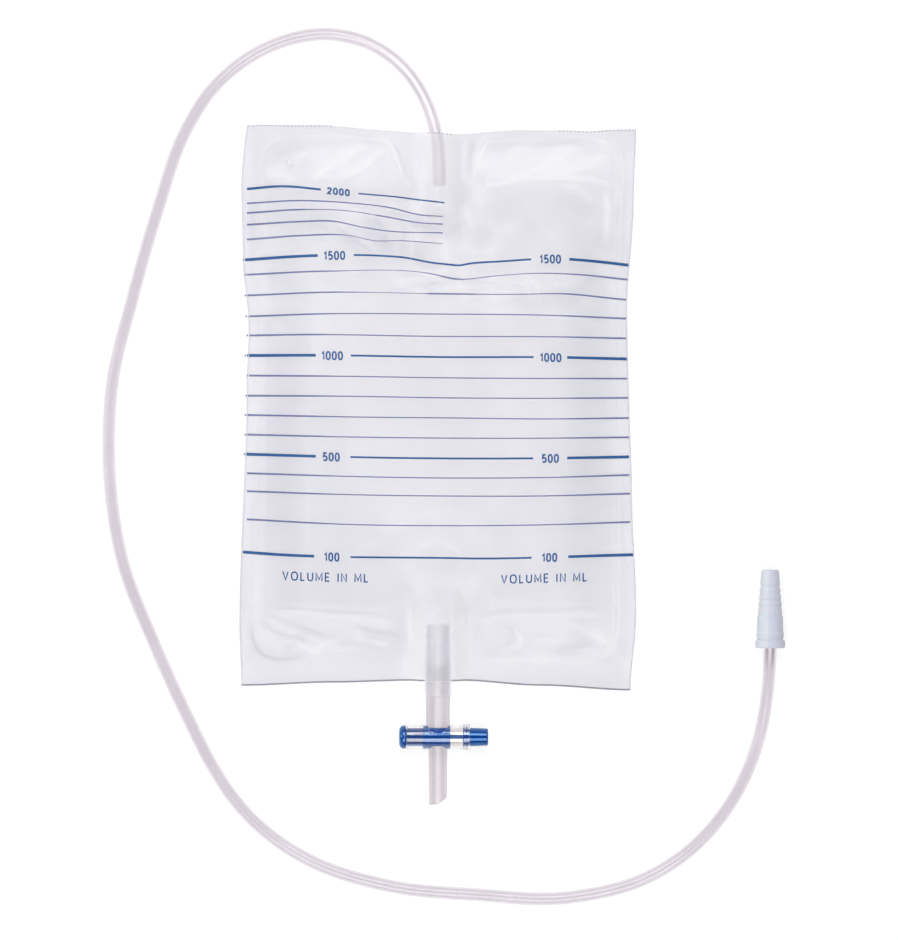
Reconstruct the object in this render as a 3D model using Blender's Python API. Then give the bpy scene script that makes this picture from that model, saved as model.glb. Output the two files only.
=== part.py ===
"""Urine drainage bag for two litres, lying empty on its back.

Seven pieces: two welded films, the inlet tube with its catheter connector, and the outlet sleeve that
holds a push-pull tap with its plunger. Metres. +X is the bag's right, +Y its top and +Z up from the
table. The origin lies on the table, under the middle of the bag and its tap.
"""

from math import cos, pi, sin

import bmesh
import bpy
import numpy as np
from mathutils import Matrix, Vector

# Clearance between pieces that touch
GAP = 0.0003

# Films and their welds
FILM = 0.0002
BAG_WIDTH = 0.204
BAG_LENGTH = 0.285
SIDE_WELD = 0.007
TOP_WELD = 0.0045
BOTTOM_WELD = 0.0134

# How the front film puffs up between the welds
CROWN = 0.0040
SIDE_SHOULDER = 0.030
TOP_SHOULDER = 0.028
BOTTOM_SHOULDER = 0.036

# Broad waves in it: share of the puff, and turns in radians for each metre of x and y
WAVES = ((0.12, 56, 31), (0.08, 25, -82))

# How the films wrap the tube and the sleeve: the skirt is where both slope down together to the table
SKIRT = 0.009
TONGUE_FADE = 0.012
INLET_RUNOUT = 0.020
OUTLET_RUNOUT = 0.024
WRAP_LEAD = 0.006
FLARE_LEAD = 0.012

# Valley in the front film below the inlet
VALLEY_X = 0.006
VALLEY_HALF_WIDTH = 0.024
VALLEY_END = 0.110
VALLEY_DEPTH = 0.45

# Eyelet in the top left corner, punched through a round weld
EYELET = 0.0030
EYELET_WELD = 0.007
EYELET_SHOULDER = 0.012
EYELET_FROM_SIDE = 0.0254
EYELET_FROM_TOP = 0.0186

# Shape of the bag's four edges: share of the way along, and metres in from the widest outline
LEFT_EDGE = ((0.0, 0.0046), (0.12, 0.0016), (0.24, 0.0016), (0.35, 0.0041), (0.50, 0.0041), (0.88, 0.0), (1.0, 0.0012))
RIGHT_EDGE = ((0.0, 0.0), (0.12, 0.0012), (0.30, 0.0041), (0.49, 0.0041), (0.64, 0.0030), (0.86, 0.0), (1.0, 0.0031))
TOP_EDGE = ((0.0, 0.0), (0.16, 0.0), (0.39, 0.0036), (0.58, 0.0046), (0.80, 0.0022), (0.90, 0.0026), (1.0, 0.0015))
BOTTOM_EDGE = ((0.0, 0.0026), (0.23, 0.0010), (0.44, 0.0), (0.56, 0.0), (0.77, 0.0026), (1.0, 0.0050))

# Inlet tube: where its axis starts and crosses the top edge, and its route over the table, chosen by hand
TUBE = 0.0069
INLET_DEPTH = 0.0260
TOP_EDGE_SAG = 0.0044
INLET_START_X = 0.0010
INLET_EDGE_X = -0.0008
TUBE_STEP = 0.0145
TUBE_RISE = 0.055
TUBE_LEVEL = 0.0055
WRAPPED_POINTS = 4
ROUTE = (
    (-0.0050, 0.1842), (-0.0169, 0.2036), (-0.0353, 0.2170), (-0.0575, 0.2219), (-0.0799, 0.2181),
    (-0.1003, 0.2078), (-0.1171, 0.1924), (-0.1293, 0.1731), (-0.1446, 0.1300), (-0.1571, 0.0861),
    (-0.1676, 0.0416), (-0.1693, 0.0187), (-0.1690, -0.0041), (-0.1622, -0.0493), (-0.1458, -0.0920),
    (-0.1268, -0.1336), (-0.1164, -0.1540), (-0.1038, -0.1730), (-0.0877, -0.1892), (-0.0687, -0.2018),
    (-0.0255, -0.2162), (0.0200, -0.2208), (0.0657, -0.2224), (0.1097, -0.2110), (0.1288, -0.1985),
    (0.1446, -0.1821), (0.1567, -0.1627), (0.1648, -0.1413), (0.1690, -0.1189),
)

# Catheter connector: the middle of its back, its bores, and its outline as distance from the tip and radius
CONNECTOR_BACK = (0.1706, -0.0937)
LUMEN = 0.0048
SOCKET_DEPTH = 0.012
CONNECTOR = (
    (0.0000, 0.0040), (0.0006, 0.0045), (0.0077, 0.0051), (0.0085, 0.0047), (0.0110, 0.0055),
    (0.0120, 0.0051), (0.0144, 0.0058), (0.0154, 0.0053), (0.0178, 0.0061), (0.0188, 0.0056),
    (0.0214, 0.0063), (0.0232, 0.0060), (0.0242, 0.0066), (0.0318, 0.0068), (0.0330, 0.0071),
    (0.0348, 0.0069), (0.0356, 0.0066), (0.0364, 0.0075), (0.0370, 0.0077), (0.0395, 0.0077),
    (0.0401, 0.0074),
)

# Outlet sleeve
SLEEVE = 0.0124
SLEEVE_WALL = 0.0011
SLEEVE_INSIDE = 0.029
SLEEVE_OUTSIDE = 0.0075
SLEEVE_FLARE = 0.0035

# Tap body: stub, neck, cross barrel and spout. The barrel's ends are measured from the ports' axis
STUB = 0.0110
STUB_LENGTH = 0.0157
STUB_CHAMFER = 0.0010
STUB_BORE = 0.0080
NECK = 0.0128
NECK_FOOT = 0.0119
NECK_LENGTH = 0.0212
BARREL = 0.0124
BARREL_LEFT = 0.0162
BARREL_RIGHT = 0.0164
LIP = 0.0130
LIP_WIDTH = 0.0032
SPOUT_ROOT = 0.0098
SPOUT_TIP = 0.0092
SPOUT_LENGTH = 0.0347
SPOUT_BORE = 0.0066
SPOUT_SLANT = 0.0036

# Tap plunger. The piston and the seals are placed from the ports' axis, and the flange's domed end is given as
# distance from the end and how far its side lies inside the flange
PISTON = 0.0096
PISTON_LEFT = 0.0076
PISTON_RIGHT = 0.0064
FLANGE = 0.0120
FLANGE_THICKNESS = 0.0034
FLANGE_DOME = ((0.0, 0.0020), (0.0004, 0.0010), (0.0012, 0.00025), (0.0020, 0.0))
CORE = 0.0024
FIN = 0.0013
SEALS_LEFT = 0.0128
SEAL = 0.0010
SEAL_GROOVE = 0.0005
KNOB_RIGHT = 0.0257
KNOB_END = 0.0089
EDGE = 0.0004

# Facets: round a turned piece, and across a film from the arch to the weld, and its rows from the top down
ROUND = 32
ARCH_STEPS = 4
SKIRT_STEPS = 3
FIELD_STEPS = 8
WELD_STEPS = 2
ROW_STEPS = (1, 3, 5, 9, 12)

# Edges sharper than this stay sharp, what a seam merges, and how far a cutting tool runs past what it cuts
SHARP = pi / 6
SEAM = 0.000002
OVERRUN = 0.002

# Worked out from the sizes above
OVERALL = BAG_LENGTH + SLEEVE_OUTSIDE + NECK_LENGTH + SPOUT_LENGTH
TOP_Y = OVERALL / 2
BOTTOM_Y = TOP_Y - BAG_LENGTH
INLET_EDGE_Y = TOP_Y - TOP_EDGE_SAG
INLET_START_Y = INLET_EDGE_Y - INLET_DEPTH
SLEEVE_Y = BOTTOM_Y + SLEEVE_INSIDE
SLEEVE_LENGTH = SLEEVE_INSIDE + SLEEVE_OUTSIDE
STUB_Y = BOTTOM_Y - SLEEVE_OUTSIDE + STUB_LENGTH
BARREL_Y = BOTTOM_Y - SLEEVE_OUTSIDE - NECK_LENGTH
STRETCHED_BORE = STUB + 2 * GAP
STRETCHED = STRETCHED_BORE + 2 * SLEEVE_WALL
WELD_Z = FILM + GAP
INLET_Z = WELD_Z + TUBE / 2
OUTLET_Z = WELD_Z + STRETCHED / 2
BORE = PISTON + 2 * GAP
EYELET_X = EYELET_FROM_SIDE - BAG_WIDTH / 2
EYELET_Y = TOP_Y - EYELET_FROM_TOP
CONNECTOR_LENGTH = CONNECTOR[-1][0]
CONNECTOR_Z = max(radius for _, radius in CONNECTOR)


def clear_scene():
    for old in list(bpy.data.objects):
        bpy.data.objects.remove(old, do_unlink=True)


def material(name, colour, roughness, alpha=1.0):
    made = bpy.data.materials.new(name)
    made.use_nodes = True
    shader = made.node_tree.nodes["Principled BSDF"]
    shader.inputs["Base Color"].default_value = (*colour, 1.0)
    shader.inputs["Roughness"].default_value = roughness
    shader.inputs["Metallic"].default_value = 0.0
    shader.inputs["Alpha"].default_value = alpha
    return made


def add_object(name, data, finish):
    made = bpy.data.objects.new(name, data)
    bpy.context.collection.objects.link(made)
    if finish:
        data.materials.append(finish)
    return made


def mesh_object(name, shape, finish):
    """An object from a closed bmesh, with its faces turned outwards and its round sides smooth."""
    bmesh.ops.recalc_face_normals(shape, faces=shape.faces)
    mesh = bpy.data.meshes.new(name)
    shape.to_mesh(mesh)
    shape.free()
    mesh.shade_smooth()
    mesh.set_sharp_from_angle(angle=SHARP)
    return add_object(name, mesh, finish)


def boolean(target, operation, tool):
    """Join a tool to a target, or cut it away. The tool stays behind as a hidden guide."""
    step = target.modifiers.new(tool.name, "BOOLEAN")
    step.operation = operation
    step.solver = "EXACT"
    step.object = tool
    seam = target.modifiers.new(tool.name + "_seam", "WELD")
    seam.merge_threshold = SEAM
    tool.hide_render = True
    tool.display_type = "WIRE"


def turned(name, outline, along, origin, finish=None, ring=False):
    """Spin (distance, radius) points round the direction `along`, which starts at origin.

    An outline starts and ends on the axis, and a ring's outline goes round its wall instead."""
    shape = bmesh.new()
    points = [shape.verts.new((radius, 0, distance)) for distance, radius in outline]
    edges = [shape.edges.new(pair) for pair in zip(points, points[1:])]
    if ring:
        edges.append(shape.edges.new((points[-1], points[0])))
    bmesh.ops.spin(
        shape, geom=points + edges, axis=(0, 0, 1), cent=(0, 0, 0), angle=2 * pi, steps=ROUND, use_merge=True
    )
    bmesh.ops.remove_doubles(shape, verts=shape.verts, dist=SEAM)
    turn = Vector((0, 0, 1)).rotation_difference(Vector(along)).to_matrix().to_4x4()
    bmesh.ops.transform(shape, matrix=Matrix.Translation(origin) @ turn, verts=shape.verts)
    return mesh_object(name, shape, finish)


def stepped(*steps):
    """The outline of a solid bar from its (distance, diameter) steps, closed at both ends."""
    sides = [(distance, diameter / 2) for distance, diameter in steps]
    return [(sides[0][0], 0), *sides, (sides[-1][0], 0)]


def block(name, low, high):
    """A box between two corners."""
    size = Vector(high) - Vector(low)
    shape = bmesh.new()
    bmesh.ops.create_cube(shape, size=1)
    bmesh.ops.translate(shape, vec=(0.5, 0.5, 0.5), verts=shape.verts)
    bmesh.ops.scale(shape, vec=size, verts=shape.verts)
    bmesh.ops.translate(shape, vec=low, verts=shape.verts)
    return mesh_object(name, shape, None)


def cut_slanting(mesh, point, normal):
    """Take away what lies beyond a plane, and close the cut with a flat face."""
    shape = bmesh.new()
    shape.from_mesh(mesh)
    everything = [*shape.verts, *shape.edges, *shape.faces]
    cut = bmesh.ops.bisect_plane(shape, geom=everything, plane_co=point, plane_no=normal, clear_outer=True)
    edges = [item for item in cut["geom_cut"] if isinstance(item, bmesh.types.BMEdge)]
    bmesh.ops.contextual_create(shape, geom=edges)
    bmesh.ops.recalc_face_normals(shape, faces=shape.faces)
    shape.to_mesh(mesh)
    shape.free()
    mesh.set_sharp_from_angle(angle=SHARP)


def eased(share):
    """0 before 0, 1 after 1, and a smooth rise between."""
    share = min(max(share, 0.0), 1.0)
    return share * share * (3 - 2 * share)


def inset(edge, share):
    """How far an edge of the bag lies inside the widest outline, at a share of the way along it."""
    for (start, low), (end, high) in zip(edge, edge[1:]):
        if share <= end:
            return low + (high - low) * eased((share - start) / (end - start))
    return edge[-1][1]


def spaced(*stretches):
    """Numbers from 0 up, for (end, count) stretches of that many equal steps each."""
    found = [0.0]
    for end, count in stretches:
        start = found[-1]
        found += [start + (end - start) * (i + 1) / count for i in range(count)]
    return found


def across(x, row):
    """The y of a point at x on a row, from 0 at the top edge to 1 at the bottom edge."""
    left = inset(LEFT_EDGE, row) - BAG_WIDTH / 2
    right = BAG_WIDTH / 2 - inset(RIGHT_EDGE, row)
    share = (x - left) / (right - left)
    top = TOP_Y - inset(TOP_EDGE, share)
    bottom = BOTTOM_Y - inset(BOTTOM_EDGE, share)
    return top + (bottom - top) * row


def wrapped(down, y, inlet):
    """What the films wrap at a distance from the top edge: x, height and radius, and how closely, from 0 to 1."""
    outlet_start = BAG_LENGTH - SLEEVE_INSIDE - WRAP_LEAD
    inlet_end = INLET_DEPTH + WRAP_LEAD
    to_outlet = eased((down - inlet_end) / (outlet_start - inlet_end))
    flare = BAG_LENGTH + SLEEVE_OUTSIDE - STUB_LENGTH - SLEEVE_FLARE
    sleeve = (SLEEVE + (STRETCHED - SLEEVE) * eased((down - flare + FLARE_LEAD) / WRAP_LEAD)) / 2
    radius = TUBE / 2 + (sleeve - TUBE / 2) * to_outlet + GAP
    x = np.interp(y, inlet[:, 1], inlet[:, 0]) * (1 - to_outlet)
    height = INLET_Z + (OUTLET_Z - INLET_Z) * to_outlet
    hold = eased((inlet_end + INLET_RUNOUT - down) / INLET_RUNOUT)
    hold += eased((down - outlet_start + OUTLET_RUNOUT) / OUTLET_RUNOUT)
    return x, height, radius, hold


def film_row(down, inlet):
    """One row of both films: (x, y, front film's underside, back film's top, and their offsets outwards)."""
    row = down / BAG_LENGTH
    middle, axis_z, radius, hold = wrapped(down, across(0, row), inlet)
    seam_z = FILM + GAP / 2
    found = []
    for side, edge in ((-1, LEFT_EDGE), (1, RIGHT_EDGE)):
        half = []
        for i in range(ARCH_STEPS):
            angle = pi / 2 * i / ARCH_STEPS
            half.append((radius * sin(angle), radius * cos(angle), 1.0, sin(angle), cos(angle)))
        for i in range(SKIRT_STEPS + 1):
            share = i / SKIRT_STEPS
            half.append((radius + SKIRT * share, 0.0, 1 - eased(share), 0.0 if i else 1.0, 1.0))
        reach = BAG_WIDTH / 2 - inset(edge, row) - side * middle
        outer = spaced((1 - SIDE_WELD / reach, FIELD_STEPS), (1, WELD_STEPS))[1:]
        half += [(radius + SKIRT + (reach - radius - SKIRT) * share, 0.0, 0.0, 0.0, 1.0) for share in outer]
        points = []
        for out, arch, skirt, lean, rise in half:
            x = middle + side * out
            y = across(x, row)
            seam = seam_z + (axis_z - seam_z) * skirt
            apart = max(arch, GAP / 2)
            front = WELD_Z + hold * (seam + apart - WELD_Z)
            back = FILM + hold * (seam - apart - FILM)
            tongue = 1 - eased((out - radius - SKIRT) / TONGUE_FADE)
            front = max(front, WELD_Z + puff(x, y, down) * (1 - hold * tongue))
            points.append((x, y, front, back, side * lean * hold * FILM, (1 - hold + hold * rise) * FILM))
        found.append(points)
    return found[0][:0:-1] + found[1]


def film_rows(inlet):
    """All rows, close together over the tube, the sleeve and the top weld."""
    past_inlet = INLET_DEPTH + WRAP_LEAD + INLET_RUNOUT
    above_outlet = BAG_LENGTH - SLEEVE_INSIDE - WRAP_LEAD - OUTLET_RUNOUT
    ends = (TOP_WELD, INLET_DEPTH, past_inlet, above_outlet, BAG_LENGTH)
    return [film_row(down, inlet) for down in spaced(*zip(ends, ROW_STEPS))]


def rim(rows):
    """What lies round the edge of a grid, in order."""
    right = [row[-1] for row in rows[1:-1]]
    left = [row[0] for row in rows[1:-1]]
    return rows[0] + right + rows[-1][::-1] + left[::-1]


def puff(x, y, down):
    """Height of the front film above the weld where nothing lies under it."""
    level = eased((BAG_WIDTH / 2 - SIDE_WELD - abs(x)) / SIDE_SHOULDER)
    level *= eased((down - TOP_WELD) / TOP_SHOULDER)
    level *= eased((BAG_LENGTH - BOTTOM_WELD - down) / BOTTOM_SHOULDER)
    valley = eased(1 - abs(x - VALLEY_X) / VALLEY_HALF_WIDTH)
    level *= 1 - VALLEY_DEPTH * valley * eased(2 - 2 * down / VALLEY_END)
    eyelet = Vector((x - EYELET_X, y - EYELET_Y)).length
    level *= eased((eyelet - EYELET_WELD / 2) / EYELET_SHOULDER)
    return CROWN * level * (1 + sum(share * cos(by_x * x + by_y * y) for share, by_x, by_y in WAVES))


def sheet(name, layers, finish):
    """A closed sheet from two grids of points, one film apart."""
    shape = bmesh.new()
    grids = [[[shape.verts.new(point) for point in row] for row in layer] for layer in layers]
    for grid in grids:
        for upper, lower in zip(grid, grid[1:]):
            for corners in zip(upper, upper[1:], lower[1:], lower):
                shape.faces.new(corners)
    low, high = (rim(grid) for grid in grids)
    for corners in zip(low, low[1:] + low[:1], high[1:] + high[:1], high):
        shape.faces.new(corners)
    return mesh_object(name, shape, finish)


def films(finish, inlet):
    """Both films, welded round the inlet's points and the outlet sleeve, and punched for the eyelet."""
    rows = film_rows(inlet)
    front = [[(x, y, z) for x, y, z, _, _, _ in row] for row in rows]
    front_face = [[(x + out, y, z + up) for x, y, z, _, out, up in row] for row in rows]
    back = [[(x, y, z) for x, y, _, z, _, _ in row] for row in rows]
    back_face = [[(x + out, y, z - up) for x, y, _, z, out, up in row] for row in rows]
    punch = turned("eyelet_punch", stepped((-OVERRUN, EYELET), (OUTLET_Z, EYELET)), (0, 0, 1), (EYELET_X, EYELET_Y, 0))
    boolean(sheet("front_film", (front, front_face), finish), "DIFFERENCE", punch)
    boolean(sheet("back_film", (back, back_face), finish), "DIFFERENCE", punch)


def line_through(points, step):
    """Points at equal steps along a smooth curve through the route's points."""
    points = np.array(points)
    at = np.concatenate([[0], np.cumsum(np.linalg.norm(np.diff(points, axis=0), axis=1))])
    slopes = np.gradient(points, at, axis=0)
    fine = [points[:1]]
    share = np.linspace(0, 1, 33)[1:, None]
    for i, reach in enumerate(np.diff(at)):
        start = points[i] * (2 * share**3 - 3 * share**2 + 1) + slopes[i] * reach * (share**3 - 2 * share**2 + share)
        end = points[i + 1] * (3 * share**2 - 2 * share**3) + slopes[i + 1] * reach * (share**3 - share**2)
        fine.append(start + end)
    fine = np.concatenate(fine)
    along = np.concatenate([[0], np.cumsum(np.linalg.norm(np.diff(fine, axis=0), axis=1))])
    stops = np.linspace(0, along[-1], round(along[-1] / step) + 1)
    return np.stack([np.interp(stops, along, fine[:, i]) for i in range(2)], axis=1), stops


def tube_line():
    """The tube's axis: out of the bag, down to the table, over it, and up into the connector."""
    back_x, back_y = CONNECTOR_BACK
    seat = (back_x, back_y + SOCKET_DEPTH - GAP)
    route = [(INLET_START_X, INLET_START_Y), (INLET_EDGE_X, INLET_EDGE_Y), *ROUTE, CONNECTOR_BACK, seat]
    line, along = line_through(route, TUBE_STEP)
    found = []
    for (x, y), passed in zip(line, along):
        left = along[-1] - passed - SOCKET_DEPTH
        z = TUBE / 2 + WELD_Z * eased(2 - passed / INLET_DEPTH)
        z += (CONNECTOR_Z - TUBE / 2) * eased((TUBE_RISE + TUBE_LEVEL - left) / TUBE_RISE)
        found.append((x, y, z))
    return np.array(found)


def inlet_tube(finish, tube):
    """The whole tube as a solid rod."""
    data = bpy.data.curves.new("inlet_tube", "CURVE")
    data.dimensions = "3D"
    data.bevel_depth = TUBE / 2
    data.bevel_resolution = 3
    data.use_fill_caps = True
    spline = data.splines.new("POLY")
    spline.points.add(len(tube) - 1)
    for point, place in zip(spline.points, tube):
        point.co = (*place, 1)
    return add_object("inlet_tube", data, finish)


def catheter_connector(finish):
    bore = TUBE / 2 + GAP
    inside = CONNECTOR_LENGTH - SOCKET_DEPTH
    wall = [(CONNECTOR_LENGTH, bore), (inside, bore), (inside, LUMEN / 2), (0, LUMEN / 2)]
    tip = (CONNECTOR_BACK[0], CONNECTOR_BACK[1] + CONNECTOR_LENGTH, CONNECTOR_Z)
    return turned("catheter_connector", [*CONNECTOR, *wall], (0, -1, 0), tip, finish, ring=True)


def outlet_sleeve(finish):
    """A soft tube, wider where it is stretched over the tap's stub."""
    plain, wide = (SLEEVE / 2, STRETCHED / 2)
    flare = SLEEVE_LENGTH - STUB_LENGTH - GAP
    outside = [(0, plain), (flare - SLEEVE_FLARE, plain), (flare, wide), (SLEEVE_LENGTH, wide)]
    inside = [(distance, radius - SLEEVE_WALL) for distance, radius in reversed(outside)]
    return turned("outlet_sleeve", outside + inside, (0, -1, 0), (0, SLEEVE_Y, OUTLET_Z), finish, ring=True)


def tap_body(finish):
    """One cross-shaped moulding: the way down through stub, neck and spout, and the barrel across it.

    The right half of the spout's tip is cut off at a slant."""
    shoulder = STUB_LENGTH + GAP
    axis = STUB_Y - BARREL_Y
    tip = axis + SPOUT_LENGTH
    way_down = stepped(
        (0, STUB - 2 * STUB_CHAMFER), (2 * STUB_CHAMFER, STUB), (shoulder, STUB), (shoulder, NECK),
        (axis, NECK_FOOT), (axis, SPOUT_ROOT), (tip, SPOUT_TIP),
    )
    stub_end = (0, STUB_Y, OUTLET_Z)
    port = (0, BARREL_Y, OUTLET_Z)
    body = turned("tap_body", way_down, (0, -1, 0), stub_end, finish)
    cut_slanting(body.data, (0, STUB_Y - tip, 0), (SPOUT_SLANT, -SPOUT_TIP / 2, 0))
    rim_start = BARREL_RIGHT - LIP_WIDTH
    barrel = stepped((-BARREL_LEFT, BARREL), (rim_start - EDGE, BARREL), (rim_start, LIP), (BARREL_RIGHT, LIP))
    boolean(body, "UNION", turned("barrel_form", barrel, (1, 0, 0), port))
    bore = stepped((-BARREL_LEFT - OVERRUN, BORE), (BARREL_RIGHT + OVERRUN, BORE))
    boolean(body, "DIFFERENCE", turned("bore_drill", bore, (1, 0, 0), port))
    flow = stepped((-OVERRUN, STUB_BORE), (axis, STUB_BORE), (axis, SPOUT_BORE), (tip + OVERRUN, SPOUT_BORE))
    boolean(body, "DIFFERENCE", turned("flow_drill", flow, (0, -1, 0), stub_end))
    return body


def tap_plunger(finish):
    """One moulding: end flange, ribbed stem, piston, thin waist, two seal beads and the knob."""
    face = -BARREL_LEFT - GAP
    end = face - FLANGE_THICKNESS
    dome = [(end + distance, FLANGE - 2 * inside) for distance, inside in FLANGE_DOME]
    flange = [*dome, (face - EDGE, FLANGE), (face, FLANGE - 2 * EDGE)]
    stem = [(face, CORE), (-PISTON_LEFT, CORE)]
    piston = [(-PISTON_LEFT, PISTON), (PISTON_RIGHT, PISTON)]
    waist = [(PISTON_RIGHT, CORE), (SEALS_LEFT, CORE)]
    seals = []
    for i in range(2):
        bead = SEALS_LEFT + i * (SEAL + SEAL_GROOVE)
        seals += [(bead, PISTON), (bead + SEAL, PISTON)]
        seals += [(bead + SEAL, PISTON - SEAL_GROOVE), (bead + SEAL + SEAL_GROOVE, PISTON - SEAL_GROOVE)]
    knob = [(seals[-1][0], PISTON), (KNOB_RIGHT - EDGE, KNOB_END), (KNOB_RIGHT, KNOB_END - 2 * EDGE)]
    outline = stepped(*flange, *stem, *piston, *waist, *seals, *knob)
    plunger = turned("tap_plunger", outline, (1, 0, 0), (0, BARREL_Y, OUTLET_Z), finish)
    wide, thin = (PISTON / 2 - EDGE / 2, FIN / 2)
    for name, y, z in (("flat_fins", wide, thin), ("upright_fins", thin, wide)):
        low = (face - EDGE, BARREL_Y - y, OUTLET_Z - z)
        high = (EDGE - PISTON_LEFT, BARREL_Y + y, OUTLET_Z + z)
        boolean(plunger, "UNION", block(name, low, high))
    return plunger


clear_scene()
clear_film = material("clear_film", (0.86, 0.86, 0.90), 0.2, 0.45)
clear_tube = material("clear_tube", (0.85, 0.82, 0.85), 0.2, 0.6)
clear_moulding = material("clear_moulding", (0.83, 0.80, 0.84), 0.15, 0.6)
blue_moulding = material("blue_moulding", (0.010, 0.075, 0.32), 0.3)
pale_blue = material("pale_blue", (0.62, 0.66, 0.80), 0.35)

tube = tube_line()
films(clear_film, tube[:WRAPPED_POINTS])
inlet_tube(clear_tube, tube)
catheter_connector(pale_blue)
outlet_sleeve(clear_tube)
tap_body(clear_moulding)
tap_plunger(blue_moulding)
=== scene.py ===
from math import cos, pi, sin

import bmesh
import bpy
import numpy as np
from mathutils import Matrix, Vector, noise
from mathutils.bvhtree import BVHTree


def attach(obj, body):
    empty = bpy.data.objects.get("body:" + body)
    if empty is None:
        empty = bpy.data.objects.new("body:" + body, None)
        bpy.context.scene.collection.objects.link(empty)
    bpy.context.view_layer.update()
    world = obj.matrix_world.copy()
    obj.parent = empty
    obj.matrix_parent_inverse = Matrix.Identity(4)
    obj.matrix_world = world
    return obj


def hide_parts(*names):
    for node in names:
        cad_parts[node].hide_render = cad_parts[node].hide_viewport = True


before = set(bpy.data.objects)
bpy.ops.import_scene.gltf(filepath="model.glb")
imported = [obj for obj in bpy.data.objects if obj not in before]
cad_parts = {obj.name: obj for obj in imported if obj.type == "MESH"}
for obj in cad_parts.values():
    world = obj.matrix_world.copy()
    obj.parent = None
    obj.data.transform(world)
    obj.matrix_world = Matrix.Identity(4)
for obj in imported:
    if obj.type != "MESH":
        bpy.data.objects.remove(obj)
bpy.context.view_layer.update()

# Metres for each pixel of the photograph, its size, and the pixel over the frame's origin
PIXEL = 0.000515
PHOTO_WIDTH, PHOTO_HEIGHT = 898, 940
ORIGIN_PIXEL = (438, 465.5)

# Sizes repeated from the part
GAP = 0.0003
FILM = 0.0002
BAG_WIDTH = 0.204
BAG_LENGTH = 0.285
SIDE_WELD = 0.007
TOP_WELD = 0.0045
BOTTOM_WELD = 0.0134
CROWN = 0.0040
SIDE_SHOULDER = 0.030
TOP_SHOULDER = 0.028
BOTTOM_SHOULDER = 0.036
SKIRT = 0.009
TONGUE_FADE = 0.012
INLET_RUNOUT = 0.020
OUTLET_RUNOUT = 0.024
WRAP_LEAD = 0.006
VALLEY_X = 0.006
VALLEY_HALF_WIDTH = 0.024
VALLEY_END = 0.110
VALLEY_DEPTH = 0.45
EYELET = 0.0030
EYELET_WELD = 0.007
EYELET_SHOULDER = 0.012
EYELET_FROM_SIDE = 0.0254
EYELET_FROM_TOP = 0.0186
LEFT_EDGE = ((0.0, 0.0046), (0.12, 0.0016), (0.24, 0.0016), (0.35, 0.0041), (0.50, 0.0041), (0.88, 0.0), (1.0, 0.0012))
RIGHT_EDGE = ((0.0, 0.0), (0.12, 0.0012), (0.30, 0.0041), (0.49, 0.0041), (0.64, 0.0030), (0.86, 0.0), (1.0, 0.0031))
TOP_EDGE = ((0.0, 0.0), (0.16, 0.0), (0.39, 0.0036), (0.58, 0.0046), (0.80, 0.0022), (0.90, 0.0026), (1.0, 0.0015))
BOTTOM_EDGE = ((0.0, 0.0026), (0.23, 0.0010), (0.44, 0.0), (0.56, 0.0), (0.77, 0.0026), (1.0, 0.0050))
TUBE = 0.0069
INLET_DEPTH = 0.0260
TOP_EDGE_SAG = 0.0044
INLET_START_X = 0.0010
INLET_EDGE_X = -0.0008
TUBE_STEP = 0.0145
TUBE_RISE = 0.055
ROUTE = (
    (-0.0050, 0.1842), (-0.0169, 0.2036), (-0.0353, 0.2170), (-0.0575, 0.2219), (-0.0799, 0.2181),
    (-0.1003, 0.2078), (-0.1171, 0.1924), (-0.1293, 0.1731), (-0.1446, 0.1300), (-0.1571, 0.0861),
    (-0.1676, 0.0416), (-0.1693, 0.0187), (-0.1690, -0.0041), (-0.1622, -0.0493), (-0.1458, -0.0920),
    (-0.1268, -0.1336), (-0.1164, -0.1540), (-0.1038, -0.1730), (-0.0877, -0.1892), (-0.0687, -0.2018),
    (-0.0255, -0.2162), (0.0200, -0.2208), (0.0657, -0.2224), (0.1097, -0.2110), (0.1288, -0.1985),
    (0.1446, -0.1821), (0.1567, -0.1627), (0.1648, -0.1413), (0.1690, -0.1189),
)
CONNECTOR_BACK = (0.1706, -0.0937)
CONNECTOR_Z = 0.0077
SOCKET_DEPTH = 0.012
LUMEN = 0.0048
SLEEVE = 0.0124
SLEEVE_WALL = 0.0011
SLEEVE_INSIDE = 0.029
SLEEVE_OUTSIDE = 0.0075
SLEEVE_FLARE = 0.0035
STUB = 0.0110
STUB_LENGTH = 0.0157
STUB_CHAMFER = 0.0010
STUB_BORE = 0.0080
NECK = 0.0128
NECK_FOOT = 0.0119
NECK_LENGTH = 0.0212
BARREL = 0.0124
BARREL_LEFT = 0.0162
BARREL_RIGHT = 0.0164
LIP = 0.0130
LIP_WIDTH = 0.0032
SPOUT_ROOT = 0.0098
SPOUT_TIP = 0.0092
SPOUT_LENGTH = 0.0347
SPOUT_BORE = 0.0066
SPOUT_SLANT = 0.0036
PISTON = 0.0096
PISTON_LEFT = 0.0076
PISTON_RIGHT = 0.0064
FLANGE = 0.0120
FLANGE_THICKNESS = 0.0034
CORE = 0.0024
FIN = 0.0013
SEALS_LEFT = 0.0128
SEAL = 0.0010
SEAL_GROOVE = 0.0005
KNOB_RIGHT = 0.0257
KNOB_END = 0.0089
EDGE = 0.0004
OVERALL = BAG_LENGTH + SLEEVE_OUTSIDE + NECK_LENGTH + SPOUT_LENGTH
TOP_Y = OVERALL / 2
BOTTOM_Y = TOP_Y - BAG_LENGTH
INLET_EDGE_Y = TOP_Y - TOP_EDGE_SAG
INLET_START_Y = INLET_EDGE_Y - INLET_DEPTH
STUB_Y = BOTTOM_Y - SLEEVE_OUTSIDE + STUB_LENGTH
BARREL_Y = BOTTOM_Y - SLEEVE_OUTSIDE - NECK_LENGTH
STRETCHED = STUB + 2 * GAP + 2 * SLEEVE_WALL
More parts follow.
